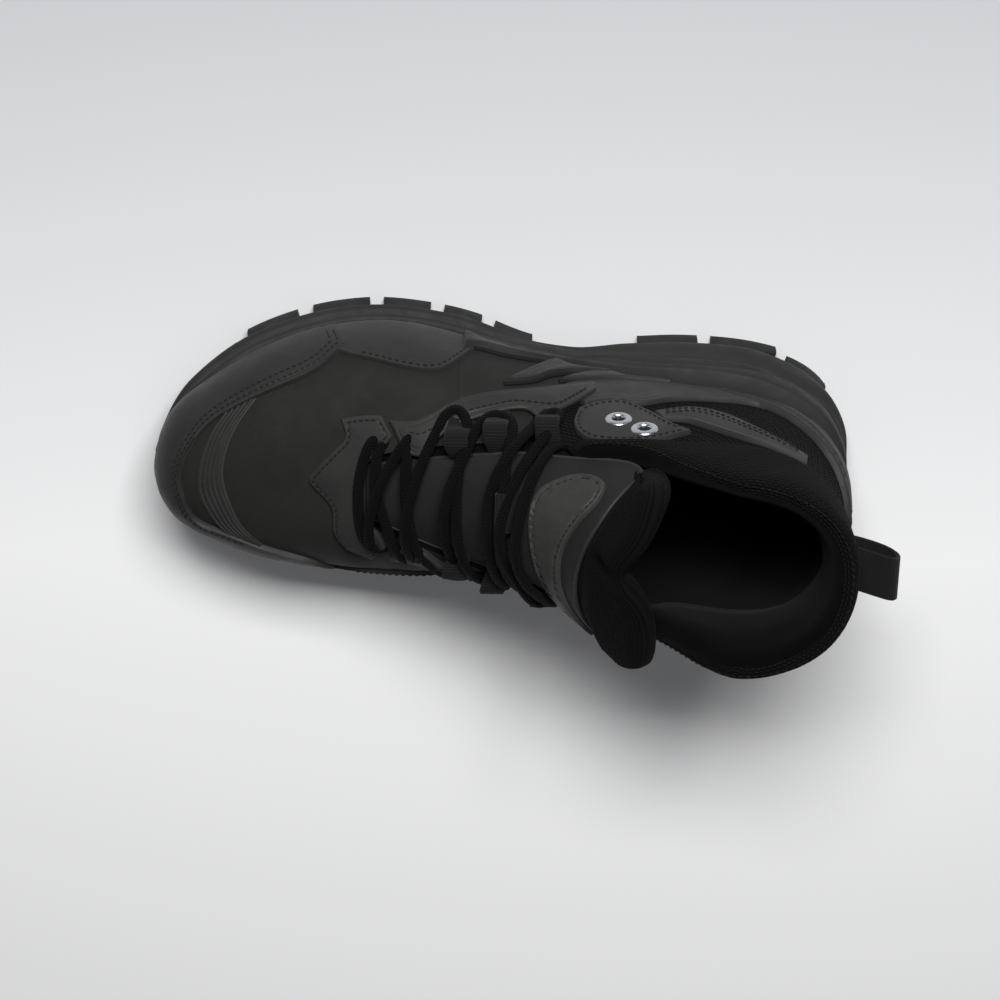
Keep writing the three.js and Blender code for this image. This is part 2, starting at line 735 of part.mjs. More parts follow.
// Side guards between the toe cap and the quarter: upper edge from the side
const GUARD_EDGE = [
  [0.714, 0.10],
  [0.714, 0.175],
  [0.685, 0.225],
  [0.630, 0.265],
  [0.590, 0.270],
  [0.560, 0.215],
  [0.535, 0.120],
  [0.535, 0.00],
  [0.545, -0.30],
  [0.714, -0.30],
];

// Quarter overlays with their curved grooves: outline from the side
const QUARTER_EDGE = [
  [0.525, -0.30],
  [0.527, 0.150],
  [0.500, 0.285],
  [0.440, 0.310],
  [0.395, 0.305],
  [0.345, 0.260],
  [0.290, 0.270],
  [0.220, 0.225],
  [0.140, 0.235],
  [0.180, 0.180],
  [0.260, 0.100],
  [0.340, 0.020],
  [0.380, -0.30],
];

// Grooves cut through the quarter: centre line and width
const GROOVES = table(['x1', 'z1', 'x2', 'z2', 'x3', 'z3', 'wide'], [
  [0.500, 0.200, 0.450, 0.215, 0.395, 0.110, 2.2],
  [0.425, 0.240, 0.375, 0.210, 0.300, 0.150, 2.2],
]);

// Heel counter round the back, between the midsole and the knit
const COUNTER_TOP = table(['x', 'height'], [
  [-0.05, 0.330],
  [0.06, 0.310],
  [0.14, 0.245],
  [0.20, 0.165],
  [0.27, 0.090],
  [0.34, 0.000],
]);

// Wing overlays at the ankle and the eyelet panels before them
const WING_EDGE = [
  [0.245, 0.366],
  [0.195, 0.410],
  [0.145, 0.545],
  [0.090, 0.610],
  [0.105, 0.655],
  [0.270, 0.450],
];

const EYELET_PANEL_EDGE = [
  [0.392, 0.350],
  [0.370, 0.285],
  [0.347, 0.250],
  [0.317, 0.290],
  [0.288, 0.407],
  [0.253, 0.525],
  [0.303, 0.590],
  [0.385, 0.515],
];

// Eyestays along the throat: how far each reaches out from its edge, as a share of the ball width
const EYESTAY_EDGE = table(['x', 'reach'], [
  [0.650, 0.100],
  [0.620, 0.115],
  [0.590, 0.125],
  [0.560, 0.145],
  [0.530, 0.150],
  [0.490, 0.135],
  [0.450, 0.110],
  [0.420, 0.100],
]);

const APRON_EDGE = [
  [0.715, -0.34],
  [0.665, -0.36],
  [0.664, 0.26],
  [0.715, 0.19],
  [0.730, 0.06],
  [0.760, -0.09],
  [0.735, -0.22],
];

function shoeHeight(share) {
  return HEEL_SEAT + share * COLLAR_RISE;
}

function sideOutline(points) {
  return smoothOutline(points, SHOE_LENGTH, COLLAR_RISE, HEEL_SEAT).reverse();
}

// Closed outline moved outwards
function grownOutline(points, out) {
  const area = THREE.ShapeUtils.area(points.map(([x, z]) => new THREE.Vector2(x, z)));
  const reach = Math.sign(area) * out;
  return points.map(([x, z], k) => {
    const before = points[(k + points.length - 1) % points.length];
    const after = points[(k + 1) % points.length];
    const tangent = new THREE.Vector2(after[0] - before[0], after[1] - before[1]).normalize();
    return [x + tangent.y * reach, z - tangent.x * reach];
  });
}

function groove(row, side) {
  const curve = new THREE.QuadraticBezierCurve(
    new THREE.Vector2(row.x1 * SHOE_LENGTH, shoeHeight(row.z1)),
    new THREE.Vector2(row.x2 * SHOE_LENGTH, shoeHeight(row.z2)),
    new THREE.Vector2(row.x3 * SHOE_LENGTH, shoeHeight(row.z3)),
  );
  const steps = 3;
  const blunt = 0.6;
  const upperEdge = [];
  const lowerEdge = [];
  for (let k = 0; k <= steps; k += 1) {
    const p = curve.getPoint(k / steps);
    const tangent = curve.getTangent(k / steps);
    const half = (row.wide / 2) * Math.sin((Math.PI * (k + blunt)) / (steps + 2 * blunt));
    upperEdge.push([p.x - tangent.y * half, p.y + tangent.x * half]);
    lowerEdge.push([p.x + tangent.y * half, p.y - tangent.x * half]);
  }
  const from = side < 0 ? -FAR / 2 : 0;
  const to = side < 0 ? 0 : FAR / 2;
  return sidePrism([...upperEdge, ...lowerEdge.reverse()], from, to);
}

function counterTop(x) {
  return HEEL_SEAT + COLLAR_RISE * along(COUNTER_TOP, 'height', x);
}

function eyeletPanel(side) {
  return sidePanel(panelShell, sideOutline(EYELET_PANEL_EDGE), side);
}

// Ankle overlay, which ends at the eyelet panel
function wing(side) {
  const panel = grownOutline(sideOutline(EYELET_PANEL_EDGE), GAP);
  const before = sidePrism(panel, -FAR, FAR);
  return mainBody(sidePanel(panelShell, sideOutline(WING_EDGE), side).subtract(before));
}

function quarter(side) {
  const edge = (x) => counterTop(x) + 2 * GAP;
  const below = sidePrism(band(() => -FAR, edge, BEHIND, SHOE_LENGTH / 2), -FAR, FAR);
  const ahead = sidePrism(grownOutline(sideOutline(GUARD_EDGE), 3 * GAP), -FAR, FAR);
  const over = sidePrism(grownOutline(sideOutline(EYELET_PANEL_EDGE), 2 * GAP), -FAR, FAR);
  const neighbours = below.add(ahead).add(over).add(eyestayPrism(side, 4 * GAP));
  let panel = sidePanel(panelShell, sideOutline(QUARTER_EDGE), side).subtract(neighbours);
  for (const row of GROOVES) panel = panel.subtract(groove(row, side));
  return mainBody(panel);
}

function heelCounter() {
  const outline = band(() => 0, counterTop, BEHIND, COUNTER_TOP.at(-1).x * SHOE_LENGTH, CUT_STEPS);
  return mainBody(guardShell.intersect(sidePrism(outline, -FAR / 2, FAR / 2)));
}

function eyestayPrism(side, clearance) {
  const strip = (out) => ({ x, reach }) => {
    const edge = throatEdge(x, side);
    return [edge.x, edge.y + side * out(reach)];
  };
  const near = EYESTAY_EDGE.map(strip(() => EYESTAY_RIM - clearance));
  const far = EYESTAY_EDGE.map(strip((reach) => reach * BALL_WIDTH + clearance));
  const outline = [...near, ...far.reverse()];
  if (side < 0) outline.reverse();
  return planPrism(outline, HEEL_SEAT + INSTEP_RISE / 3, FAR);
}

function eyestay(side) {
  return mainBody(panelShell.intersect(eyestayPrism(side, 0)).subtract(collarRing(GAP)));
}

function apron() {
  const outline = smoothOutline(APRON_EDGE, SHOE_LENGTH, BALL_WIDTH);
  return mainBody(panelShell.intersect(planPrism(outline, HEEL_SEAT, FAR)).subtract(throatCut(-1)));
}

// Row and angle of the last's surface that lie nearest to a place given by two coordinates
function findPlace(target, coordinates, angles) {
  const passes = 9;
  const spread = 6;
  let best = { t: LAST_ROW / 2, angle: (angles[0] + angles[1]) / 2, miss: Infinity };
  let reach = { t: LAST_ROW / 2, angle: (angles[1] - angles[0]) / 2 };
  for (let pass = 0; pass < passes; pass += 1) {
    const centre = best;
    for (let i = -spread; i <= spread; i += 1) {
      for (let j = -spread; j <= spread; j += 1) {
        const t = clamp(centre.t + (i * reach.t) / spread, 0, LAST_ROW);
        const angle = clamp(centre.angle + (j * reach.angle) / spread, angles[0], angles[1]);
        const p = lastPoint(t, angle);
        const miss = coordinates.reduce((sum, name) => sum + (p[name] - target[name]) ** 2, 0);
        if (miss < best.miss) best = { t, angle, miss };
      }
    }
    reach = { t: reach.t / 2.5, angle: reach.angle / 2.5 };
  }
  return best;
}

// Place on the top of the foot, seen from above
function onTop(x, y) {
  return findPlace({ x, y }, ['x', 'y'], [Math.PI / 2, (3 * Math.PI) / 2]);
}

// Place on one side, seen from that side
function onSide(x, z, side) {
  const angles = side < 0 ? [0, Math.PI] : [Math.PI, 2 * Math.PI];
  return findPlace({ x, z }, ['x', 'z'], angles);
}

// Metal eyelets on the eyelet panel: shares of the length and the collar rise
const EYELETS = table(['x', 'z'], [
  [0.340, 0.470],
  [0.307, 0.548],
]);

function eyelet(row, side) {
  const place = onSide(row.x * SHOE_LENGTH, shoeHeight(row.z), side);
  const seat = grownPoint(place.t, place.angle, PANEL + 3 * GAP);
  const outward = seat.clone().sub(lastPoint(place.t, place.angle)).normalize();
  const rim = EYELET_THICK / 3;
  const profile = [
    [EYELET_HOLE, 0],
    [EYELET_RADIUS, 0],
    [EYELET_RADIUS, rim],
    [EYELET_HOLE, EYELET_THICK],
    [EYELET_HOLE, 0],
  ].map(([r, h]) => new THREE.Vector2(r, h));
  const ring = new THREE.LatheGeometry(profile, 8);
  ring.applyQuaternion(new THREE.Quaternion().setFromUnitVectors(new THREE.Vector3(0, 1, 0), outward));
  ring.translate(seat.x, seat.y, seat.z);
  return solid(ring);
}

// Rows where the lace turns, as shares of the length, and those of them that have a webbing loop
const LACE_ROWS = [0.658, 0.625, 0.562, 0.507, 0.447];
const LOOP_ROWS = [2, 3, 4];
const LACE_INSET = LACE / 2 + 2;
const LACE_LIFT = LACE / 2 + KEEPER + 2 * GAP - WALL;
const LACE_SIDES = 6;

function laceTurn(row, side) {
  const edge = throatEdge(LACE_ROWS[row], side);
  return onTop(edge.x, edge.y - side * LACE_INSET);
}

// One stretch of lace over the tongue between two places on the last
function laceRun(from, to) {
  const points = [];
  const steps = 4;
  for (let k = 0; k <= steps; k += 1) {
    const f = k / steps;
    points.push(grownPoint(lerp(from.t, to.t, f), lerp(from.angle, to.angle, f), LACE_LIFT));
  }
  const path = new THREE.CatmullRomCurve3(points);
  const section = new THREE.Shape();
  section.absarc(0, 0, LACE / 2, 0, 2 * Math.PI);
  const tube = new THREE.ExtrudeGeometry(section, { steps, curveSegments: LACE_SIDES / 2, extrudePath: path });
  return solid(tube);
}

function laces() {
  let whole = laceRun(laceTurn(0, -1), laceTurn(0, 1));
  for (let k = 0; k < LACE_ROWS.length - 1; k += 1) {
    whole = whole.add(laceRun(laceTurn(k, -1), laceTurn(k + 1, 1)));
    whole = whole.add(laceRun(laceTurn(k, 1), laceTurn(k + 1, -1)));
  }
  return mainBody(whole);
}

// Webbing loop on the eyestay beside a lace turn
function laceLoop(row, side) {
  const edge = throatEdge(LACE_ROWS[row], side);
  const half = LOOP_WIDTH / 2;
  const inner = edge.y - side * LOOP_LAP;
  const outer = edge.y + side * LOOP_REACH;
  const [low, high] = [edge.x - half, edge.x + half];
  const outline = [[low, inner], [high, inner], [high, outer], [low, outer]];
  if (side < 0) outline.reverse();
  const lift = 2 * GAP + PANEL;
  const webbing = last(lift + 2 * LOOP_THICK).subtract(last(lift));
  const foot = onTop(edge.x, edge.y);
  const lowest = lastPoint(foot.t, foot.angle).z - LOOP_REACH;
  return mainBody(webbing.intersect(planPrism(outline, lowest, FAR)));
}

// Keeper tab on the tongue that the laces pass through
function laceKeeper() {
  const low = [KEEPER_X * SHOE_LENGTH - KEEPER_LONG / 2, KEEPER_Y * BALL_WIDTH - KEEPER_WIDE / 2];
  const high = [low[0] + KEEPER_LONG, low[1] + KEEPER_WIDE];
  const outline = [low, [high[0], low[1]], high, [low[0], high[1]]];
  const raised = last(KEEPER - WALL - GAP).subtract(last(-TONGUE));
  return mainBody(raised.intersect(planPrism(outline, HEEL_SEAT, FAR)).subtract(tongueSheet(GAP)));
}

// Folded webbing behind the collar: a closed loop seen from the side
function pullLoop() {
  const root = SECTIONS[PULL_ROW].lowX * SHOE_LENGTH;
  const z = shoeHeight(PULL_HEIGHT);
  const bend = root - PULL_REACH + PULL_TALL / 2;
  const drawn = (path, inset, end) => {
    const half = PULL_TALL / 2 - inset;
    path.moveTo(end, z + half);
    path.lineTo(bend, z + half - PULL_DROP);
    path.absarc(bend, z - PULL_DROP, half, Math.PI / 2, (3 * Math.PI) / 2);
    path.lineTo(end, z - half - PULL_DROP);
    return path;
  };
  const shape = drawn(new THREE.Shape(), 0, root + PULL_TALL);
  shape.holes.push(drawn(new THREE.Path(), PULL_THICK, root + PULL_TALL - PULL_THICK));
  const settings = { depth: PULL_WIDTH, bevelEnabled: false, curveSegments: 6 };
  const geometry = new THREE.ExtrudeGeometry(shape, settings);
  geometry.rotateX(rad(90));
  geometry.translate(0, PULL_WIDTH / 2, 0);
  return mainBody(solid(geometry).subtract(last(COLLAR_OUT + GAP)));
}

// Builds the meshes, with the origin on the floor at the middle of the heel's centre lug
const shoe = new THREE.Group();
const heelRest = MIDDLE_LUGS.find((row) => row.wide === 0.20);
shoe.position.set(-heelRest.x * SHOE_LENGTH, -heelRest.y * SOLE_WIDTH, 0);
const LEATHER = { color: 0x2b2b2d, roughness: 0.75, metalness: 0 };
const RUBBER = { color: 0x1c1c1d, roughness: 0.6, metalness: 0 };
const KNIT = { color: 0x161617, roughness: 0.95, metalness: 0 };
const STEEL = { color: 0x8a8c90, roughness: 0.35, metalness: 1 };

function addPart(name, body, look) {
  const { vertProperties, triVerts } = body.getMesh();
  const geometry = new THREE.BufferGeometry();
  geometry.setAttribute('position', new THREE.BufferAttribute(new Float32Array(vertProperties), 3));
  geometry.setIndex(new THREE.BufferAttribute(new Uint32Array(triVerts), 1));
  geometry.computeVertexNormals();
  const mesh = new THREE.Mesh(geometry, new THREE.MeshStandardMaterial(look));
  mesh.name = name;
  shoe.add(mesh);
}

addPart('outsole', outsole(), RUBBER);
addPart('midsole', midsole(), RUBBER);
addPart('insole', insole(), KNIT);
addPart('upper', upper(), LEATHER);
addPart('toe_cap', toeCap(), LEATHER);
addPart('heel_counter', heelCounter(), RUBBER);
addPart('apron', apron(), LEATHER);
addPart('collar', collar(), KNIT);
addPart('tongue', tongue(), LEATHER);
addPart('tongue_patch', tonguePatch(), LEATHER);
addPart('laces', laces(), KNIT);
addPart('lace_keeper', laceKeeper(), KNIT);
addPart('pull_loop', pullLoop(), KNIT);
for (const [side, label] of [[-1, 'outer'], [1, 'inner']]) {
  addPart(`guard_${label}`, sidePanel(panelShell, sideOutline(GUARD_EDGE), side), LEATHER);
  addPart(`quarter_${label}`, quarter(side), LEATHER);
  addPart(`wing_${label}`, wing(side), LEATHER);
  addPart(`eyelet_panel_${label}`, eyeletPanel(side), LEATHER);
  addPart(`eyestay_${label}`, eyestay(side), LEATHER);
  EYELETS.forEach((row, k) => addPart(`eyelet_${label}_${k + 1}`, eyelet(row, side), STEEL));
  for (const row of LOOP_ROWS) addPart(`lace_loop_${label}_${row - 1}`, laceLoop(row, side), KNIT);
}

export default shoe;
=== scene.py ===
import math

import bmesh
import bpy
import numpy as np
from mathutils import Matrix, Vector
from mathutils.bvhtree import BVHTree
from mathutils.geometry import barycentric_transform, delaunay_2d_cdt


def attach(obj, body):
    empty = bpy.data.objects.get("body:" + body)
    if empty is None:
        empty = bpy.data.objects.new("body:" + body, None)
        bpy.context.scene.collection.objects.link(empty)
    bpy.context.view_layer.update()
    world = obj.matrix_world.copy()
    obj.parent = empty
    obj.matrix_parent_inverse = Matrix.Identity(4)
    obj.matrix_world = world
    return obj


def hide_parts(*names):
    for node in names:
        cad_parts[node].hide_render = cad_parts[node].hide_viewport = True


# Mid-cut sneaker boot, right shoe. Lengths here are millimetres from the back of the sole,
# the outer side of the foot is -y, and every mesh is moved to the frame's origin in metres.
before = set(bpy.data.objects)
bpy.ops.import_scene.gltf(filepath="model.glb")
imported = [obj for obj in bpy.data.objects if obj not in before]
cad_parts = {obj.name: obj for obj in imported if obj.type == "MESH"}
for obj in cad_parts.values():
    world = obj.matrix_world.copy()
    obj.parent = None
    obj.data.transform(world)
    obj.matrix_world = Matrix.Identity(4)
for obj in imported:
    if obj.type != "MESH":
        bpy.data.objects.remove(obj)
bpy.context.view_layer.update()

SHOE_LENGTH = 300.0
BALL_WIDTH = 104.5
SOLE_WIDTH = 113.0
HEEL_SEAT = 28.0
INSTEP_RISE = 88.0
COLLAR_RISE = 123.0
TOE_SPRING = 13.0
ARCH_RISE = 9.0
HEEL_BEVEL = 4.0
WALL = 2.2
GAP = 0.3
PLATE = 4.0
LUG_DEPTH = 5.0
LUG_STEP = 2.2
LUG_REACH = 15.0
LACE = 4.6
ORIGIN = np.array([0.165 * SHOE_LENGTH, -0.02 * SOLE_WIDTH, 0.0])

# Sections of the foot's form: top x, top rise, low x, low rise, lift, outer, inner, swing, belly,
# low power, top power, as shares of the sizes above
SECTIONS = np.array([
    [0.9845, 0.012, 0.9845, 0, 1.355, 0.003, 0.003, -0.005, 0.48, 2.2, 2.2],
    [0.983, 0.125, 0.983, 0, 1.18, 0.048, 0.048, -0.005, 0.45, 2.4, 2.2],
    [0.973, 0.240, 0.973, 0, 1.07, 0.153, 0.134, -0.005, 0.38, 3.0, 2.2],
    [0.950, 0.330, 0.950, 0, 1.00, 0.258, 0.210, 0.000, 0.33, 3.4, 2.3],
    [0.903, 0.410, 0.903, 0, 0.93, 0.364, 0.278, 0.003, 0.28, 3.8, 2.5],
    [0.843, 0.495, 0.843, 0, 0.84, 0.469, 0.344, 0.004, 0.24, 4.0, 2.5],
    [0.773, 0.570, 0.773, 0, 0.75, 0.545, 0.392, 0.000, 0.22, 4.0, 2.4],
    [0.700, 0.660, 0.700, 0, 0.68, 0.574, 0.426, -0.010, 0.20, 4.0, 2.3],
    [0.627, 0.760, 0.630, 0, 0.68, 0.560, 0.435, -0.024, 0.20, 4.0, 2.2],
    [0.560, 0.875, 0.557, 0, 0.71, 0.512, 0.411, -0.029, 0.20, 4.0, 2.1],
    [0.503, 1.000, 0.477, 0, 0.79, 0.455, 0.392, -0.029, 0.22, 4.0, 2.1],
    [0.460, 1.100, 0.383, 0, 0.86, 0.411, 0.383, -0.024, 0.27, 4.0, 2.2],
    [0.423, 1.190, 0.280, 0, 0.93, 0.400, 0.383, -0.014, 0.34, 3.8, 2.4],
    [0.393, 1.270, 0.160, 0, 1.00, 0.397, 0.383, -0.010, 0.42, 3.2, 2.6],
    [0.367, 1.375, 0.053, 0.065, 1.00, 0.395, 0.388, 0.000, 0.50, 2.6, 2.7],
    [0.347, 1.455, 0.020, 0.260, 1.00, 0.392, 0.392, 0.000, 0.56, 2.3, 2.8],
    [0.333, 1.530, 0.027, 0.488, 1.00, 0.397, 0.402, 0.000, 0.60, 2.2, 2.8],
    [0.323, 1.600, 0.040, 0.715, 1.00, 0.402, 0.411, 0.000, 0.62, 2.2, 2.8],
    [0.317, 1.670, 0.040, 0.927, 1.00, 0.411, 0.421, 0.000, 0.62, 2.2, 2.8],
    [0.313, 1.740, 0.033, 1.114, 1.00, 0.421, 0.431, 0.000, 0.62, 2.2, 2.8],
])
T_LOW = -1.0
T_HIGH = 18.0
T_CELLS = 380
S_CELLS = 192

# Sole's edge: x, outer side, inner side
SOLE_EDGE = np.array([
    [-0.005, 0.000, 0.000], [0.000, -0.124, 0.115], [0.020, -0.240, 0.225], [0.047, -0.314, 0.292],
    [0.090, -0.372, 0.336], [0.157, -0.412, 0.354], [0.240, -0.425, 0.345], [0.323, -0.416, 0.319],
    [0.407, -0.425, 0.305], [0.490, -0.465, 0.319], [0.573, -0.527, 0.363], [0.657, -0.558, 0.420],
    [0.723, -0.549, 0.447], [0.790, -0.509, 0.434], [0.857, -0.442, 0.385], [0.913, -0.341, 0.301],
    [0.957, -0.230, 0.204], [0.983, -0.124, 0.115], [0.998, -0.009, -0.009],
])

# Underside of the lugs: x, toe spring, arch and heel bevel. Top edge of the sole: x, height
GROUND = np.array([
    [-0.02, 0, 0, 1], [0.06, 0, 0, 0], [0.31, 0, 0, 0], [0.40, 0, 1, 0], [0.45, 0, 1, 0],
    [0.54, 0, 0, 0], [0.76, 0, 0, 0], [0.88, 0.3, 0, 0], [1.00, 1, 0, 0],
])
BITE = np.array([
    [-0.02, 1.72], [0.13, 1.54], [0.27, 1.32], [0.37, 1.02], [0.55, 0.84], [0.72, 0.84],
    [0.83, 0.98], [0.93, 1.16], [1.01, 1.26],
])


def unit(vectors):
    return vectors / np.maximum(np.linalg.norm(vectors, axis=-1, keepdims=True), 1e-9)


def lengths(points):
    """Distance from a line's start to each of its points."""
    return np.concatenate([[0], np.cumsum(np.linalg.norm(np.diff(points, axis=0), axis=1))])


def blend(a, b, c, d, f):
    """Smooth curve from b to c, between a and d."""
    return 0.5 * (2 * b + (c - a) * f + (2 * a - 5 * b + 4 * c - d) * f ** 2 + (3 * b - a - 3 * c + d) * f ** 3)


def catmull(rows, place):
    """Rows of a table at fractional indices, smooth through the rows."""
    last = len(rows) - 1
    k = np.clip(np.floor(place).astype(int), 0, last - 1)
    f = (place - k)[..., None]
    b = rows[k]
    c = rows[k + 1]
    a = np.where((k > 0)[..., None], rows[np.maximum(k - 1, 0)], 2 * b - c)
    d = np.where((k < last - 1)[..., None], rows[np.minimum(k + 2, last)], 2 * c - b)
    return blend(a, b, c, d, f)


def along(rows, x):
    """Columns of a table at places along the shoe, in millimetres."""
    x = np.asarray(x, float)
    place = np.interp(x / SHOE_LENGTH, rows[:, 0], np.arange(len(rows)))
    return catmull(rows, place)[..., 1:]


def ground(x):
    x = np.asarray(x, float)
    place = np.interp(x / SHOE_LENGTH, GROUND[:, 0], np.arange(len(GROUND)))
    k = np.minimum(place.astype(int), len(GROUND) - 2)
    f = place - k
    f = (f * f * (3 - 2 * f))[..., None]
    row = GROUND[k] * (1 - f) + GROUND[k + 1] * f
    return row[..., 1] * TOE_SPRING + row[..., 2] * ARCH_RISE + row[..., 3] * HEEL_BEVEL


def bite(x):
    return HEEL_SEAT * along(BITE, x)[..., 0]


def smoothstep(low, high, value):
    f = np.clip((value - low) / (high - low), 0, 1)
    return f * f * (3 - 2 * f)


def section(t, angle):
    """Points of the form for one t and many angles. 0 is the low end, a quarter turn the outer side."""
    row = catmull(SECTIONS, np.array([t - T_LOW]))[0]
    top_x, top_rise, low_x, low_rise, lift, outer, inner, swing, belly, low_power, top_power = row
    low = np.array([low_x * SHOE_LENGTH, lift * HEEL_SEAT + low_rise * COLLAR_RISE])
    top = np.array([top_x * SHOE_LENGTH, lift * HEEL_SEAT + top_rise * INSTEP_RISE])
    c = np.cos(angle)
    s = np.sin(angle)
    power = np.where(c > 0, low_power, top_power)
    across = np.sign(s) * np.abs(s) ** (2 / power)
    upright = np.abs(c) ** (2 / power)
    share = np.where(c > 0, belly * (1 - upright), belly + (1 - belly) * upright)
    half = np.where(s > 0, outer, inner)
    xz = low + (top - low) * share[:, None]
    return np.stack([xz[:, 0], BALL_WIDTH * (swing - half * across), xz[:, 1]], 1)


def even(points, count):
    """The same line with its points at equal distances."""
    reach = lengths(points)
    if reach[-1] < 1e-9:
        return np.repeat(points[:1], count, 0)
    at = np.linspace(0, reach[-1], count)
    return np.stack([np.interp(at, reach, points[:, k]) for k in range(points.shape[1])], 1)


def make_grid():
    half = S_CELLS // 2
    angles = np.linspace(0, math.pi, 241)
    rows = []
    for t in np.linspace(T_LOW, T_HIGH, T_CELLS + 1):
        outer = even(section(t, angles), half + 1)
        inner = even(section(t, angles + math.pi), half + 1)
        rows.append(np.concatenate([outer[:-1], inner[:-1]]))
    grid = np.array(rows)
    lengthwise = np.gradient(grid, axis=0)
    around = np.roll(grid, -1, axis=1) - np.roll(grid, 1, axis=1)
    normal = np.cross(around, lengthwise)
    size = np.linalg.norm(normal, axis=2, keepdims=True)
    normal = np.where(size > 1e-9, normal / np.maximum(size, 1e-9), np.array([1.0, 0, 0]))
    return grid, normal


GRID, NORMALS = make_grid()


def lookup(grid, t, s):
    u = (np.clip(t, T_LOW, T_HIGH) - T_LOW) / (T_HIGH - T_LOW) * T_CELLS
    i = np.clip(u.astype(int), 0, T_CELLS - 1)
    fu = (u - i)[:, None]
    v = (s % 1.0) * S_CELLS
    j = np.floor(v).astype(int) % S_CELLS
    fv = (v - np.floor(v))[:, None]
    k = (j + 1) % S_CELLS
    low = grid[i, j] * (1 - fv) + grid[i, k] * fv
    high = grid[i + 1, j] * (1 - fv) + grid[i + 1, k] * fv
    return low * (1 - fu) + high * fu


def surface(places, lift=0.0):
    """Points over the form at (t, s) places: s runs round from the low end over the outer side."""
    places = np.asarray(places, float).reshape(-1, 2)
    points = lookup(GRID, places[:, 0], places[:, 1])
    normal = lookup(NORMALS, places[:, 0], places[:, 1])
    normal = unit(normal)
    return points + normal * np.reshape(lift, (-1, 1)), normal


def make_tree():
    rows = np.arange(0, T_CELLS + 1, 2)
    columns = np.arange(0, S_CELLS + 1, 2)
    points = []
    places = []
    for i in rows:
        for j in columns:
            points.append(Vector(GRID[i, j % S_CELLS]))
            places.append(Vector((T_LOW + (T_HIGH - T_LOW) * i / T_CELLS, j / S_CELLS, 0)))
    wide = len(columns)
    faces = []
    for r in range(len(rows) - 1):
        for c in range(wide - 1):
            a = r * wide + c
            faces.append((a, a + 1, a + wide + 1))
            faces.append((a, a + wide + 1, a + wide))
    return BVHTree.FromPolygons(points, faces), points, places, faces


TREE, TREE_POINTS, TREE_PLACES, TREE_FACES = make_tree()


def place_of(hit, index, centre):
    corners = TREE_FACES[index]
    points = [TREE_POINTS[k] for k in corners]
    places = [TREE_PLACES[k] for k in corners]
    found = barycentric_transform(hit, *points, *places)
    s = found.y
    while s > centre + 0.5:
        s -= 1
    while s < centre - 0.5:
        s += 1
    return (found.x, s)


def near(point, centre=0.5):
    hit, _, index, _ = TREE.find_nearest(Vector(point))
    return place_of(hit, index, centre)


def side_on(x, z, side, centre=0.5):
    """Place on one side of the form, seen from that side."""
    hit, _, index, _ = TREE.ray_cast(Vector((x, side * 200, z)), Vector((0, -side, 0)))
    if index is None:
        return near((x, side * 50, z), centre)
    return place_of(hit, index, centre)


def from_above(x, y, centre=0.5):
    hit, _, index, _ = TREE.ray_cast(Vector((x, y, 400)), Vector((0, 0, -1)))
    if index is None:
        return near((x, y, 60), centre)
    return place_of(hit, index, centre)


def curve_through(points, closed=True, per=10):
    """Smooth line through points. A point whose last number is 1 is a corner."""
    rows = np.array([p[:-1] for p in points], float)
    corner = [bool(p[-1]) for p in points]
    count = len(rows)
    spans = count if closed else count - 1
    out = []
    for k in range(spans):
        b = rows[k]
        c = rows[(k + 1) % count]
        a = rows[k - 1] if (closed or k > 0) else 2 * b - c
        d = rows[(k + 2) % count] if (closed or k < spans - 1) else 2 * c - b
        if corner[k]:
            a = 2 * b - c
        if corner[(k + 1) % count]:
            d = 2 * c - b
        out += [blend(a, b, c, d, j / per) for j in range(per)]
    if not closed:
        out.append(rows[-1])
    return np.array(out)


def spaced(places, step, closed=True):
    """The same line on the form with points at equal real distances."""
    loop = np.concatenate([places, places[:1]]) if closed else places
    points, _ = surface(loop)
    reach = lengths(points)
    count = max(6, int(round(reach[-1] / step)))
    at = np.linspace(0, reach[-1], count + 1)
    if closed:
        at = at[:-1]
    return np.stack([np.interp(at, reach, loop[:, k]) for k in range(2)], 1)


def side_line(points, side, closed=True, centre=0.5):
    return np.array([side_on(x, z, side, centre) for x, z in curve_through(points, closed)])


def top_line(points, closed=True, centre=0.5):
    return np.array([from_above(x, y, centre) for x, y in curve_through(points, closed)])


def near_line(points, closed=True, centre=0.5):
    return np.array([near(p, centre) for p in curve_through(points, closed)])


def metric(places):
    """Millimetres per unit of t and of s about some places."""
    middle = np.mean(places, 0)
    probe = np.concatenate([places[:: max(1, len(places) // 24)], [middle]])
    d = 0.05
    ahead, _ = surface(probe + [d, 0])
    behind, _ = surface(probe - [d, 0])
    e = 0.004
    left, _ = surface(probe + [0, e])
    right, _ = surface(probe - [0, e])
    t_scale = np.mean(np.linalg.norm(ahead - behind, axis=1)) / (2 * d)
    s_scale = np.mean(np.linalg.norm(left - right, axis=1)) / (2 * e)
    return np.array([t_scale, s_scale])


def inside(points, loop):
    """Which points lie in a closed loop."""
    x = points[:, 0][:, None]
    y = points[:, 1][:, None]
    x1 = loop[:, 0][None]
    y1 = loop[:, 1][None]
    x2 = np.roll(loop[:, 0], -1)[None]
    y2 = np.roll(loop[:, 1], -1)[None]
    crosses = (y1 > y) != (y2 > y)
    drop = np.where(y2 == y1, 1e-12, y2 - y1)
    at = (x2 - x1) * (y - y1) / drop + x1
    return (np.sum(crosses & (x < at), axis=1) % 2) == 1


def shortest(points, others):
    """Distance from each point to the nearest of the others."""
    best = np.full(len(points), 1e9)
    for k in range(0, len(points), 800):
        part = points[k:k + 800]
        gap = np.linalg.norm(part[:, None] - others[None], axis=2)
        best[k:k + 800] = gap.min(1)
    return best


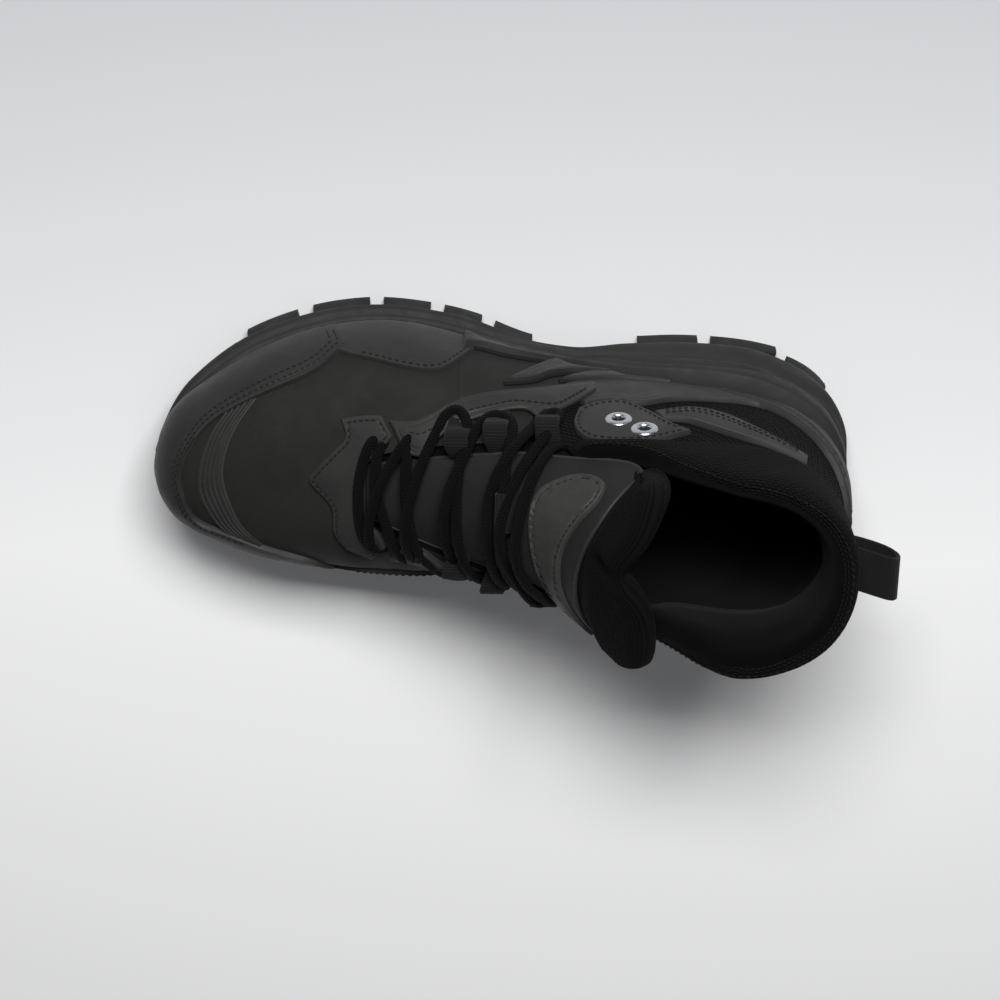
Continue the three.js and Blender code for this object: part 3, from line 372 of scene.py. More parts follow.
def loop_normals(loop):
    tangent = np.roll(loop, -1, axis=0) - np.roll(loop, 1, axis=0)
    tangent = unit(tangent)
    return np.stack([-tangent[:, 1], tangent[:, 0]], 1)


def make_object(name, points, faces, uv=None, edge=None, sharp=40):
    """A mesh object from millimetre points, moved to the frame's origin, riding on the shoe."""
    mesh = bpy.data.meshes.new(name)
    mesh.from_pydata(((np.asarray(points) - ORIGIN) / 1000).tolist(), [], [list(map(int, f)) for f in faces])
    mesh.validate()
    if uv is not None:
        layer = mesh.uv_layers.new(name="chart")
        index = np.empty(len(mesh.loops), int)
        mesh.loops.foreach_get("vertex_index", index)
        layer.data.foreach_set("uv", (np.asarray(uv, float)[index] / 1000).ravel())
    if edge is not None:
        attribute = mesh.attributes.new("edge", "FLOAT", "POINT")
        attribute.data.foreach_set("value", np.asarray(edge, float))
    mesh.shade_smooth()
    if sharp:
        mesh.set_sharp_from_angle(angle=math.radians(sharp))
    piece = bpy.data.objects.new(name, mesh)
    bpy.context.scene.collection.objects.link(piece)
    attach(piece, "root")
    return piece


def flattened(rim, scale=None):
    """A closed line on the form in plane millimetres, turned one way, and the scale used."""
    scale = metric(rim) if scale is None else scale
    flat = rim * scale
    area = np.sum(flat[:, 0] * np.roll(flat[:, 1], -1) - np.roll(flat[:, 0], -1) * flat[:, 1])
    return (flat[::-1] if area < 0 else flat), scale


def triangulate(places, step=2.4, fine=1.2, rows=(0.45, 1.1), spread=None):
    """Triangles over a closed line on the form. Returns places, scaled places and faces."""
    flat, scale = flattened(spaced(places, fine), spread)
    inward = loop_normals(flat)
    extra = []
    for inset in rows:
        ring = flat + inward * inset
        keep = inside(ring, flat) & (shortest(ring, flat) > inset * 0.8)
        extra.append(ring[keep])
    low = flat.min(0)
    high = flat.max(0)
    columns = np.arange(low[0] + step / 3, high[0], step)
    lines = np.arange(low[1] + step / 3, high[1], step * 0.87)
    gx, gy = np.meshgrid(columns, lines)
    gx = gx + (np.arange(len(lines)) % 2)[:, None] * step / 2
    cloud = np.stack([gx.ravel(), gy.ravel()], 1)
    cloud = cloud[inside(cloud, flat)]
    if len(cloud):
        cloud = cloud[shortest(cloud, flat) > max(rows) + step * 0.4]
    points = np.concatenate([flat, *extra, cloud])
    count = len(flat)
    loop = [(k, (k + 1) % count) for k in range(count)]
    done = delaunay_2d_cdt([Vector(p) for p in points], loop, [], 1, 1e-5)
    found = np.array([[v.x, v.y] for v in done[0]])
    faces = [f for f in done[2] if len(f) == 3]
    middles = np.array([found[list(f)].mean(0) for f in faces])
    keep = inside(middles, flat)
    faces = [f for f, ok in zip(faces, keep) if ok]
    return found / scale, found, faces


def open_edges(faces):
    """The rim's directed edges of a set of triangles."""
    seen = {}
    for f in faces:
        for k in range(3):
            seen[(f[k], f[(k + 1) % 3])] = True
    return [e for e in seen if (e[1], e[0]) not in seen]


def sheet(name, places, top, bottom=None, skirt=None, holes=(), **settings):
    """A sheet over a closed line on the form. top and bottom give heights from (places, points, rim distance)."""
    spots, flat, faces = triangulate(places, **settings)
    base, normal = surface(spots)
    rim, _ = surface(spaced(places, 0.6))
    distance = shortest(base, rim)
    distance[distance < 0.35] = 0
    if holes:
        centres = np.array([base[list(f)].mean(0) for f in faces])
        for hole, radius in holes:
            far = np.linalg.norm(centres - np.array(hole), axis=1) > radius
            faces = [f for f, ok in zip(faces, far) if ok]
            centres = centres[far]
    a, b, c = (base[faces[len(faces) // 2][k]] for k in range(3))
    turned = np.dot(np.cross(b - a, c - a), normal[faces[len(faces) // 2][0]]) < 0
    if turned:
        faces = [f[::-1] for f in faces]
    height = top(spots, base, distance)
    upper = base + normal * height[:, None]
    points = [upper]
    all_faces = list(faces)
    uv = [flat]
    edge = [distance]
    border = open_edges(faces)
    count = len(base)
    if bottom is not None:
        lower = base + normal * bottom(spots, base, distance)[:, None]
        points.append(lower)
        uv.append(flat)
        edge.append(distance)
        all_faces += [tuple(k + count for k in f[::-1]) for f in faces]
        all_faces += [(b, a, a + count, b + count) for a, b in border]
    elif skirt is not None:
        lower = base + normal * skirt
        points.append(lower)
        uv.append(flat)
        edge.append(distance)
        all_faces += [(b, a, a + count, b + count) for a, b in border]
    piece = make_object(name, np.concatenate(points), all_faces, np.concatenate(uv), np.concatenate(edge))
    if bottom is None and skirt is not None:
        tidy_loose(piece)
    if bottom is not None:
        back = np.arange(len(piece.data.polygons)) >= len(faces)
        piece["back"] = back.astype(int).tolist()
    return piece


def tidy_loose(piece):
    """Removes points that no face uses."""
    mesh = piece.data
    used = np.zeros(len(mesh.vertices), bool)
    index = np.empty(len(mesh.loops), int)
    mesh.loops.foreach_get("vertex_index", index)
    used[index] = True
    if used.all():
        return
    work = bmesh.new()
    work.from_mesh(mesh)
    loose = [v for v in work.verts if not v.link_faces]
    bmesh.ops.delete(work, geom=loose, context="VERTS")
    work.to_mesh(mesh)
    work.free()


def rounded(distance, radius):
    f = np.clip(distance / radius, 0, 1)
    return np.sqrt(np.maximum(0, 1 - (1 - f) ** 2))


def panel(name, places, thick=1.6, lift=GAP, radius=0.6, puff=0.0, relief=None, holes=(), **settings):
    """A stitched overlay with rounded edges that lies on the form."""

    def top(spots, base, distance):
        height = lift + thick * (0.3 + 0.7 * rounded(distance, radius)) + puff * smoothstep(0, 9, distance)
        if relief is not None:
            height = height + relief(spots, base, distance)
        return height

    return sheet(name, places, top, skirt=lift - 0.6, holes=holes, **settings)


def inset_line(places, inset, step=0.8):
    """Line inside a closed one, an even distance from it."""
    flat, scale = flattened(spaced(places, step))
    ring = flat + loop_normals(flat) * inset
    keep = inside(ring, flat) & (shortest(ring, flat) > inset * 0.93)
    return ring / scale, keep


class Threads:
    """Collects stitches, which become one mesh."""

    def __init__(self):
        self.points = []
        self.faces = []
        self.count = 0

    def add(self, centre, tangent, normal, long=2.1, radius=0.34):
        tangent = unit(tangent)
        across = np.cross(normal, tangent)
        across = unit(across)
        up = np.cross(tangent, across)
        rings = [(-0.5, 0.0, -0.25), (-0.36, 0.75, 0.0), (0.0, 1.0, 0.12), (0.36, 0.75, 0.0), (0.5, 0.0, -0.25)]
        start = self.count
        sides = 6
        for share, size, raised in rings:
            middle = centre + tangent * share * long + up * raised * radius * 2
            turns = 1 if size == 0 else sides
            for k in range(turns):
                turn = 2 * math.pi * k / sides
                offset = across * math.cos(turn) + up * math.sin(turn)
                self.points.append(middle + offset * size * radius)
                self.count += 1
        first = start + 1
        for k in range(sides):
            n = (k + 1) % sides
            self.faces.append((start, first + n, first + k))
            for r in range(2):
                a = first + r * sides
                b = first + (r + 1) * sides
                self.faces.append((a + k, a + n, b + n, b + k))
            last = first + 2 * sides
            self.faces.append((last + k, last + n, last + sides))

    def line(self, places, lift, pitch=3.0, long=2.1, radius=0.34, keep=None):
        """Stitches along a line of places. Runs that aren't kept are left out."""
        points, normal = surface(places, lift)
        ok = np.ones(len(points), bool) if keep is None else keep
        run = []
        for k in range(len(points) + 1):
            if k < len(points) and ok[k] and (not run or np.linalg.norm(points[k] - points[run[-1]]) < 4):
                run.append(k)
                continue
            if len(run) > 3:
                self.run(points[run], normal[run], pitch, long, radius)
            run = [k] if k < len(points) and ok[k] else []

    def run(self, points, normal, pitch, long, radius):
        reach = lengths(points)

        def along_run(values, at):
            return np.array([np.interp(at, reach, values[:, c]) for c in range(3)])

        for j in range(int(reach[-1] / pitch)):
            at = (j + 0.5) * pitch
            tangent = along_run(points, at + 0.6) - along_run(points, at - 0.6)
            self.add(along_run(points, at), tangent, along_run(normal, at), long, radius)

    def seam(self, places, inset, lift, where=None, **settings):
        """Stitches along the inside of a closed outline. where picks the points that get them."""
        line, keep = inset_line(places, inset)
        if where is not None:
            points, _ = surface(line)
            keep = keep & where(points)
        self.line(line, lift, keep=keep, **settings)

    def object(self, name):
        return make_object(name, self.points, self.faces, sharp=0)


def tube(path, radius, sides=10, up=None, name=None, closed=False, flatten=1.0):
    """Points, faces and chart of a round tube along a path."""
    path = np.asarray(path, float)
    count = len(path)
    tangent = np.gradient(path, axis=0)
    if closed:
        tangent = np.roll(path, -1, axis=0) - np.roll(path, 1, axis=0)
    tangent = unit(tangent)
    guide = np.array([0.0, 0, 1]) if up is None else None
    reach = lengths(path)
    points = []
    uv = []
    for k in range(count):
        lead = guide if up is None else up[k]
        across = np.cross(tangent[k], lead)
        across = unit(across)
        lift = np.cross(across, tangent[k])
        for j in range(sides):
            turn = 2 * math.pi * j / sides
            points.append(path[k] + radius * (across * math.cos(turn) + lift * math.sin(turn) * flatten))
            uv.append((radius * turn, reach[k]))
    faces = []
    rings = count if closed else count - 1
    for k in range(rings):
        low = k * sides
        high = ((k + 1) % count) * sides
        for j in range(sides):
            n = (j + 1) % sides
            faces.append((low + j, low + n, high + n, high + j))
    if not closed:
        faces.append(tuple(reversed(range(sides))))
        faces.append(tuple(range((count - 1) * sides, count * sides)))
    return np.array(points), faces, np.array(uv)


def join(parts):
    """Points, faces and charts of several meshes as one."""
    points = []
    faces = []
    uv = []
    start = 0
    for p, f, u in parts:
        points.append(p)
        uv.append(u)
        faces += [tuple(k + start for k in face) for face in f]
        start += len(p)
    return np.concatenate(points), faces, np.concatenate(uv)


def ribbon(path, across, width, thick):
    """Flat strap with soft edges along a path."""
    path = np.asarray(path, float)
    across = np.asarray(across, float)
    tangent = np.gradient(path, axis=0)
    tangent = unit(tangent)
    across = unit(across)
    up = np.cross(tangent, across)
    reach = lengths(path)
    h = thick / 2
    w = width / 2
    profile = [(-w, 0), (-w + h * 0.7, h), (-w * 0.5, h), (0, h), (w * 0.5, h), (w - h * 0.7, h), (w, 0),
               (w - h * 0.7, -h), (w * 0.5, -h), (0, -h), (-w * 0.5, -h), (-w + h * 0.7, -h)]
    points = []
    uv = []
    for k in range(len(path)):
        for a, b in profile:
            points.append(path[k] + across[k] * a + up[k] * b)
            uv.append((a, reach[k]))
    faces = []
    n = len(profile)
    for k in range(len(path) - 1):
        for j in range(n):
            m = (j + 1) % n
            faces.append((k * n + j, k * n + m, (k + 1) * n + m, (k + 1) * n + j))
    faces.append(tuple(reversed(range(n))))
    faces.append(tuple(range((len(path) - 1) * n, len(path) * n)))
    return np.array(points), faces, np.array(uv)


# Materials
class Nodes:
    """Short names for building a material's nodes."""

    def __init__(self, name, color, roughness, **sockets):
        self.material = bpy.data.materials.new(name)
        self.material.use_nodes = True
        self.tree = self.material.node_tree
        self.shader = self.tree.nodes["Principled BSDF"]
        self.shader.inputs["Base Color"].default_value = (*color, 1)
        self.shader.inputs["Roughness"].default_value = roughness
        for key, value in sockets.items():
            self.shader.inputs[key.replace("_", " ")].default_value = value
        self.bumps = None

    def link(self, a, b):
        self.tree.links.new(a, b)

    def value(self, operation, a, b=0.0, c=0.0):
        node = self.tree.nodes.new("ShaderNodeMath")
        node.operation = operation
        for socket, given in zip(node.inputs, (a, b, c)):
            if isinstance(given, (int, float)):
                socket.default_value = given
            else:
                self.link(given, socket)
        return node.outputs[0]

    def where(self, kind="Object"):
        if not hasattr(self, "coordinates"):
            self.coordinates = self.tree.nodes.new("ShaderNodeTexCoord")
        return self.coordinates.outputs[kind]

    def chart(self):
        split = self.tree.nodes.new("ShaderNodeSeparateXYZ")
        self.link(self.where("UV"), split.inputs[0])
        return split.outputs["X"], split.outputs["Y"]

    def noise(self, scale, detail=3.0, roughness=0.55, kind="Object"):
        node = self.tree.nodes.new("ShaderNodeTexNoise")
        node.inputs["Scale"].default_value = scale
        node.inputs["Detail"].default_value = detail
        node.inputs["Roughness"].default_value = roughness
        self.link(self.where(kind), node.inputs["Vector"])
        return node.outputs["Fac"]

    def cells(self, scale, feature="F1"):
        node = self.tree.nodes.new("ShaderNodeTexVoronoi")
        node.feature = feature
        node.inputs["Scale"].default_value = scale
        self.link(self.where(), node.inputs["Vector"])
        return node.outputs["Distance"]

    def attribute(self, name):
        node = self.tree.nodes.new("ShaderNodeAttribute")
        node.attribute_name = name
        return node.outputs["Fac"]

    def mix(self, share, a, b):
        node = self.tree.nodes.new("ShaderNodeMix")
        node.data_type = "RGBA"
        for socket, given in ((node.inputs[0], share), (node.inputs[6], a), (node.inputs[7], b)):
            if isinstance(given, tuple):
                socket.default_value = (*given, 1)
            elif isinstance(given, (int, float)):
                socket.default_value = given
            else:
                self.link(given, socket)
        return node.outputs[2]

    def span(self, value, low, high, out_low=0.0, out_high=1.0):
        node = self.tree.nodes.new("ShaderNodeMapRange")
        node.inputs["From Min"].default_value = low
        node.inputs["From Max"].default_value = high
        node.inputs["To Min"].default_value = out_low
        node.inputs["To Max"].default_value = out_high
        self.link(value, node.inputs["Value"])
        return node.outputs[0]

    def bump(self, height, strength, depth):
        node = self.tree.nodes.new("ShaderNodeBump")
        node.inputs["Strength"].default_value = strength
        node.inputs["Distance"].default_value = depth / 1000
        self.link(height, node.inputs["Height"])
        if self.bumps is not None:
            self.link(self.bumps, node.inputs["Normal"])
        self.bumps = node.outputs[0]
        self.link(self.bumps, self.shader.inputs["Normal"])

    def color(self, output):
        self.link(output, self.shader.inputs["Base Color"])

    def rough(self, output):
        self.link(output, self.shader.inputs["Roughness"])


def leather(name, dark, light, roughness, grain=2600, depth=0.05, mottle=40, groove=None, sheen=0.03):
    """Matte leather: fine nap, slow mottling, edges made lighter as rubbed wear and as a painted highlight, and a
    pressed line beside the stitches.
    """
    n = Nodes(name, light, roughness)
    n.shader.inputs["Sheen Weight"].default_value = sheen
    n.shader.inputs["Sheen Roughness"].default_value = 0.45
    n.shader.inputs["Specular IOR Level"].default_value = 0.25
    slow = n.span(n.noise(mottle, 4, 0.6), 0.35, 0.68)
    nap = n.noise(grain, 2, 0.6)
    fleck = n.span(n.noise(420, 3, 0.65), 0.42, 0.72)
    shade = n.mix(slow, dark, light)
    shade = n.mix(n.value("MULTIPLY", fleck, 0.35), shade, tuple(1.25 * v for v in light))
    edge = n.attribute("edge")
    # Lighter towards each panel's rim: partly rubbed wear, partly a painted edge highlight.
    worn_and_highlight = n.span(edge, 1.3, 0.1)
    worn_and_highlight = n.value("MULTIPLY", worn_and_highlight, n.span(n.noise(130, 3), 0.3, 0.7, 0.1, 0.6))
    shade = n.mix(worn_and_highlight, shade, tuple(1.45 * v for v in light))
    n.color(shade)
    n.rough(n.span(n.noise(90, 4), 0.3, 0.7, roughness - 0.07, roughness + 0.07))
    n.bump(nap, 0.5, depth)
    n.bump(n.cells(520), 0.2, depth * 1.4)
    if groove is not None:
        away = n.value("ABSOLUTE", n.value("SUBTRACT", edge, groove))
        n.bump(n.span(away, 0.0, 0.7), 0.7, 0.25)
    return n.material


def rubber(name, dark, light, roughness):
    n = Nodes(name, light, roughness)
    n.shader.inputs["Specular IOR Level"].default_value = 0.2
    n.color(n.mix(n.span(n.noise(30, 4), 0.35, 0.7), dark, light))
    n.rough(n.span(n.noise(160, 4), 0.3, 0.7, roughness - 0.08, roughness + 0.1))
    n.bump(n.noise(1500, 3), 0.25, 0.04)
    n.bump(n.noise(60, 2), 0.15, 0.3)
    return n.material


def knit(name, dark, light, pitch_u, pitch_v, depth, roughness=0.9, slant=0.35):
    """Rows of slanted loops, alternate rows shifted and slanted the other way."""
    n = Nodes(name, light, roughness)
    n.shader.inputs["Sheen Weight"].default_value = 0.01
    n.shader.inputs["Sheen Roughness"].default_value = 0.5
    n.shader.inputs["Specular IOR Level"].default_value = 0.05
    u, v = n.chart()
    row = n.value("MULTIPLY", v, 1000 / pitch_v)
    band = n.value("FLOOR", row)
    in_row = n.value("SUBTRACT", n.value("FRACT", row), 0.5)
    odd = n.value("MODULO", n.value("ABSOLUTE", band), 2.0)
    way = n.value("SUBTRACT", n.value("MULTIPLY", odd, 2.0), 1.0)
    lean = n.value("MULTIPLY", n.value("MULTIPLY", in_row, slant * 2), way)
    column = n.value("ADD", n.value("MULTIPLY", u, 1000 / pitch_u), lean)
    column = n.value("ADD", column, n.value("MULTIPLY", odd, 0.5))
    in_column = n.value("SUBTRACT", n.value("FRACT", column), 0.5)
    far = n.value("ADD", n.value("MULTIPLY", in_row, in_row), n.value("MULTIPLY", in_column, in_column))
    high = n.span(far, 0.26, 0.0)
    wisp = n.noise(1800, 2)
    height = n.value("ADD", n.value("POWER", high, 0.6), n.value("MULTIPLY", wisp, 0.25))
    # Colour follows the loops' height: the hollows between loops are darker, painted shade there.
    n.color(n.mix(high, dark, light))
    n.bump(height, 0.9, depth)
    return n.material


def fabric(name, dark, light, pitch=0.9, depth=0.12, roughness=0.95):
    """Close plain cloth."""
    n = Nodes(name, light, roughness)
    n.shader.inputs["Sheen Weight"].default_value = 0.02
    n.shader.inputs["Sheen Roughness"].default_value = 0.6
    n.shader.inputs["Specular IOR Level"].default_value = 0.03
    u, v = n.chart()
    wave_u = n.value("SINE", n.value("MULTIPLY", u, 2000 * math.pi / pitch))
    wave_v = n.value("SINE", n.value("MULTIPLY", v, 2000 * math.pi / pitch))
    weave = n.span(n.value("MULTIPLY", wave_u, wave_v), -1, 1)
    # Darker where the weave is low: painted shade in the weave's hollows, with random tone from the noise.
    n.color(n.mix(n.value("MULTIPLY", weave, n.noise(260, 3)), dark, light))
    n.bump(weave, 0.6, depth)
    n.bump(n.noise(1200, 3), 0.4, depth)
    return n.material


def ribbed(name, dark, light, pitch, depth, across=False, roughness=0.8):
    """Webbing: ribs across a strap, with finer threads along it."""
    n = Nodes(name, light, roughness)
    n.shader.inputs["Sheen Weight"].default_value = 0.03
    n.shader.inputs["Specular IOR Level"].default_value = 0.2
    u, v = n.chart()
    if across:
        u, v = v, u
    rib = n.value("ABSOLUTE", n.value("SINE", n.value("MULTIPLY", v, 1000 * math.pi / pitch)))
    cord = n.value("ABSOLUTE", n.value("SINE", n.value("MULTIPLY", u, 1000 * math.pi / (pitch * 0.8))))
    height = n.value("ADD", rib, n.value("MULTIPLY", cord, 0.5))
    # Darker between the ribs and cords: painted shade in the hollows.
    n.color(n.mix(n.span(height, 0.1, 1.4), dark, light))
    n.bump(height, 0.8, depth)
    return n.material


def braid(name, dark, light, pitch=1.5, depth=0.3):
    """Round braided cord: strands that cross on a slant."""
    n = Nodes(name, light, 0.72)
    n.shader.inputs["Sheen Weight"].default_value = 0.01
    n.shader.inputs["Specular IOR Level"].default_value = 0.07
    u, v = n.chart()
    a = n.value("SINE", n.value("MULTIPLY", n.value("ADD", v, n.value("MULTIPLY", u, 0.85)), 2000 * math.pi / pitch))
    b = n.value("SINE", n.value("MULTIPLY", n.value("SUBTRACT", v, n.value("MULTIPLY", u, 0.85)), 2000 * math.pi / pitch))
    height = n.value("MAXIMUM", a, b)
    # Darker where the strands dip: painted shade between the strands.
    n.color(n.mix(n.span(height, -0.4, 1.0), dark, light))
    n.bump(height, 0.8, depth)
    return n.material


NUBUCK = leather("nubuck", (0.0075, 0.0074, 0.0068), (0.011, 0.0107, 0.0098), 0.8, mottle=26, sheen=0.02)
PANEL_LEATHER = leather("panel_leather", (0.0145, 0.0146, 0.0138), (0.0195, 0.0196, 0.0186), 0.58, groove=2.0)
GUARD_LEATHER = leather("guard_leather", (0.013, 0.0132, 0.0125), (0.018, 0.0182, 0.0172), 0.6, groove=2.2)
# Near-black leather for the tubes laid in the blades' grooves: painted shade in place of the grooves' shadow.
GROOVE_SHADE_LEATHER = leather("groove_shade_leather", (0.0022, 0.0023, 0.0021), (0.004, 0.0041, 0.0038), 0.8, sheen=0.0)
TONGUE_LEATHER = leather("tongue_leather", (0.0065, 0.0066, 0.0062), (0.0095, 0.0096, 0.009), 0.7, groove=None)
PATCH_LEATHER = leather("patch_leather", (0.024, 0.0243, 0.0228), (0.03, 0.0303, 0.0284), 0.6, groove=2.6)
RUBBER = rubber("sole_rubber", (0.009, 0.0092, 0.009), (0.0145, 0.0147, 0.0142), 0.66)
RIM_RUBBER = rubber("rim_rubber", (0.0145, 0.0147, 0.0141), (0.0205, 0.0207, 0.0199), 0.64)
KNIT = knit("collar_knit", (0.0008, 0.0008, 0.0008), (0.0062, 0.0064, 0.006), 2.4, 1.5, 0.8)
FINE_KNIT = knit("fine_knit", (0.001, 0.001, 0.001), (0.0042, 0.0044, 0.0042), 1.5, 0.9, 0.35)
LINING = fabric("lining", (0.001, 0.001, 0.001), (0.0024, 0.0025, 0.0024))
WEBBING = ribbed("webbing", (0.0012, 0.0012, 0.0012), (0.004, 0.0041, 0.004), 1.1, 0.3)
CORD = braid("lace_cord", (0.0007, 0.0007, 0.0007), (0.0026, 0.0027, 0.0026))
THREAD = ribbed("thread", (0.006, 0.0062, 0.006), (0.016, 0.0163, 0.0157), 0.5, 0.05, roughness=0.7)


def metal():
    n = Nodes("dark_nickel", (0.52, 0.53, 0.55), 0.3)
    n.shader.inputs["Metallic"].default_value = 1.0
    n.rough(n.span(n.noise(900, 3), 0.3, 0.7, 0.22, 0.42))
    n.bump(n.noise(2500, 2), 0.15, 0.02)
    return n.material


NICKEL = metal()


def dress(piece, material, slot, *nodes):
    piece.data.materials.clear()
    piece.data.materials.append(material)
    if nodes:
        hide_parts(*nodes)
    return piece


# Sole
SOLE_STATIONS = 150


def sole_loop(out):
    """The sole's edge in plan, moved outwards, with each point's own station."""
    rows = catmull(SOLE_EDGE, np.linspace(0, len(SOLE_EDGE) - 1, SOLE_STATIONS + 1))
    outer = np.stack([rows[:, 0] * SHOE_LENGTH, rows[:, 1] * SOLE_WIDTH], 1)
    inner = np.stack([rows[:, 0] * SHOE_LENGTH, rows[:, 2] * SOLE_WIDTH], 1)[1:-1][::-1]
    loop = np.concatenate([outer, inner])
    closed = np.concatenate([loop, loop[:1]])
    loop = even(closed, 2 * SOLE_STATIONS + 1)[:-1]
    normal = -loop_normals(loop)
    amount = np.reshape(out, (-1, 1)) if np.ndim(out) else out
    return loop + normal * amount, loop[:, 0]


def plate_top(x):
    return ground(x) + LUG_DEPTH + PLATE


def lofted(levels, closing=True):
    """Points and faces between loops of equal count."""
    count = len(levels[0])
    points = np.concatenate(levels)
    faces = []
    for r in range(len(levels) - 1):
        for k in range(count):
            n = (k + 1) % count
            faces.append((r * count + k, r * count + n, (r + 1) * count + n, (r + 1) * count + k))
    if closing:
        half = count // 2
        for k in range(1, half):
            faces.append((k, (count - k) % count, (count - k - 1) % count, k + 1))
        faces.append((0, count - 1, 1))
    return points, faces


# Side of the midsole: share of its height, how far it stands out at the forefoot and at the heel
MIDSOLE_SIDE = np.array([
    [0.00, -1.0, -0.6], [0.04, 0.6, 1.0], [0.09, 1.5, 2.2], [0.16, 2.0, 2.9], [0.24, 2.0, 2.9],
    [0.32, 1.6, 2.4], [0.39, 0.8, 1.6], [0.43, -0.5, 0.8], [0.47, -1.2, -0.2], [0.54, -1.3, -0.7],
    [0.61, -1.1, 0.0], [0.66, -0.2, 0.4], [0.71, 0.6, 0.3], [0.80, 1.0, 0.5], [0.89, 0.8, 0.5],
    [0.95, 0.2, 0.2], [0.985, -0.6, -0.3], [1.00, -1.5, -1.0],
])


def build_midsole():
    shares = np.linspace(0, 1, 44)
    place = np.interp(shares, MIDSOLE_SIDE[:, 0], np.arange(len(MIDSOLE_SIDE)))
    rows = catmull(MIDSOLE_SIDE, place)
    levels = []
    edge = []
    for share, row in zip(shares, rows):
        _, station = sole_loop(0.0)
        heel = smoothstep(150, 90, station)
        out = row[1] * (1 - heel) + row[2] * heel
        sweep = 0.5 + 0.32 * np.sin((station - 20) / 34)
        flow = -0.9 * np.exp(-((share - sweep) / 0.045) ** 2) * smoothstep(150, 120, station)
        ridge = 0.6 * np.exp(-((share - sweep + 0.13) / 0.08) ** 2) * smoothstep(150, 120, station)
        ends = -2.2 * smoothstep(282, 298, station) - 3.6 * smoothstep(50, 5, station)
        loop, station = sole_loop(out + flow + ridge + ends)
        low = plate_top(station) + GAP
        height = low + (bite(station) - low) * share
        levels.append(np.column_stack([loop, height]))
        edge.append(np.full(len(loop), share))
    snapped = []
    for x, y, z in levels[-1]:
        hit, normal, _, _ = TREE.find_nearest(Vector((x, y, z)))
        snapped.append((np.array(hit), np.array(normal)))
    rim = np.array([h for h, _ in snapped])
    away = rim - levels[-1]
    away[:, 2] = 0
    close = levels[-1] + away
    close[:, 2] = levels[-1][:, 2] - 0.1
    under = close + away / np.maximum(np.linalg.norm(away, axis=1, keepdims=True), 1e-6) * 1.2
    under[:, 2] -= 3.5
    levels += [close, under]
    edge += [np.full(len(close), 1.0), np.full(len(close), 1.0)]
    points, faces = lofted(levels)
    faces = [f if len(set(f)) > 2 else None for f in faces]
    faces = [f for f in faces if f is not None]
    uv = points[:, [0, 2]]
    piece = make_object("midsole_body", points, faces, uv, np.concatenate(edge), sharp=60)
    return dress(piece, RIM_RUBBER, "rubber", "midsole")


SIDE_LUGS = [
    (0.025, 0.083), (0.103, 0.197), (0.217, 0.303), (0.457, 0.510), (0.530, 0.583),
    (0.603, 0.670), (0.690, 0.770), (0.793, 0.863), (0.885, 0.940),
]
MIDDLE_LUGS = [
    (0.085, -0.10, 0.055, 0.14), (0.085, 0.08, 0.055, 0.14), (0.165, -0.02, 0.050, 0.20),
    (0.240, -0.11, 0.055, 0.13), (0.240, 0.06, 0.055, 0.13), (0.555, -0.15, 0.055, 0.14),
    (0.555, 0.04, 0.055, 0.14), (0.630, -0.18, 0.050, 0.15), (0.630, 0.08, 0.050, 0.15),
    (0.630, -0.05, 0.050, 0.09), (0.705, -0.18, 0.055, 0.15), (0.705, 0.09, 0.055, 0.15),
    (0.705, -0.045, 0.055, 0.10), (0.780, -0.14, 0.055, 0.14), (0.780, 0.08, 0.055, 0.14),
    (0.855, -0.06, 0.050, 0.20),
]


def edge_at(x, side, out):
    rows = catmull(SOLE_EDGE, np.linspace(0, len(SOLE_EDGE) - 1, 400))
    line = np.stack([rows[:, 0] * SHOE_LENGTH, rows[:, 1 if side < 0 else 2] * SOLE_WIDTH], 1)
    k = int(np.clip(np.searchsorted(line[:, 0], x), 1, len(line) - 2))
    f = (x - line[k - 1, 0]) / max(line[k, 0] - line[k - 1, 0], 1e-6)
    p = line[k - 1] * (1 - f) + line[k] * f
    tangent = line[k + 1] - line[k - 1]
    tangent /= np.linalg.norm(tangent)
    return np.array([p[0] - side * tangent[1] * out, p[1] + side * tangent[0] * out])


def block(rows):
    """A closed form from rings of points of equal count, bottom ring first."""
    count = len(rows[0])
    points = np.concatenate(rows)
    faces = [tuple(reversed(range(count)))]
    for r in range(len(rows) - 1):
        for k in range(count):
            n = (k + 1) % count
            faces.append((r * count + k, r * count + n, (r + 1) * count + n, (r + 1) * count + k))
    faces.append(tuple(range((len(rows) - 1) * count, len(rows) * count)))
    return points, faces, points[:, :2]


def lug_ring(outline, height, shift=0.0):
    middle = outline.mean(0)
    moved = middle + (outline - middle) * (1 + shift)
    return np.column_stack([moved, ground(moved[:, 0]) + height])


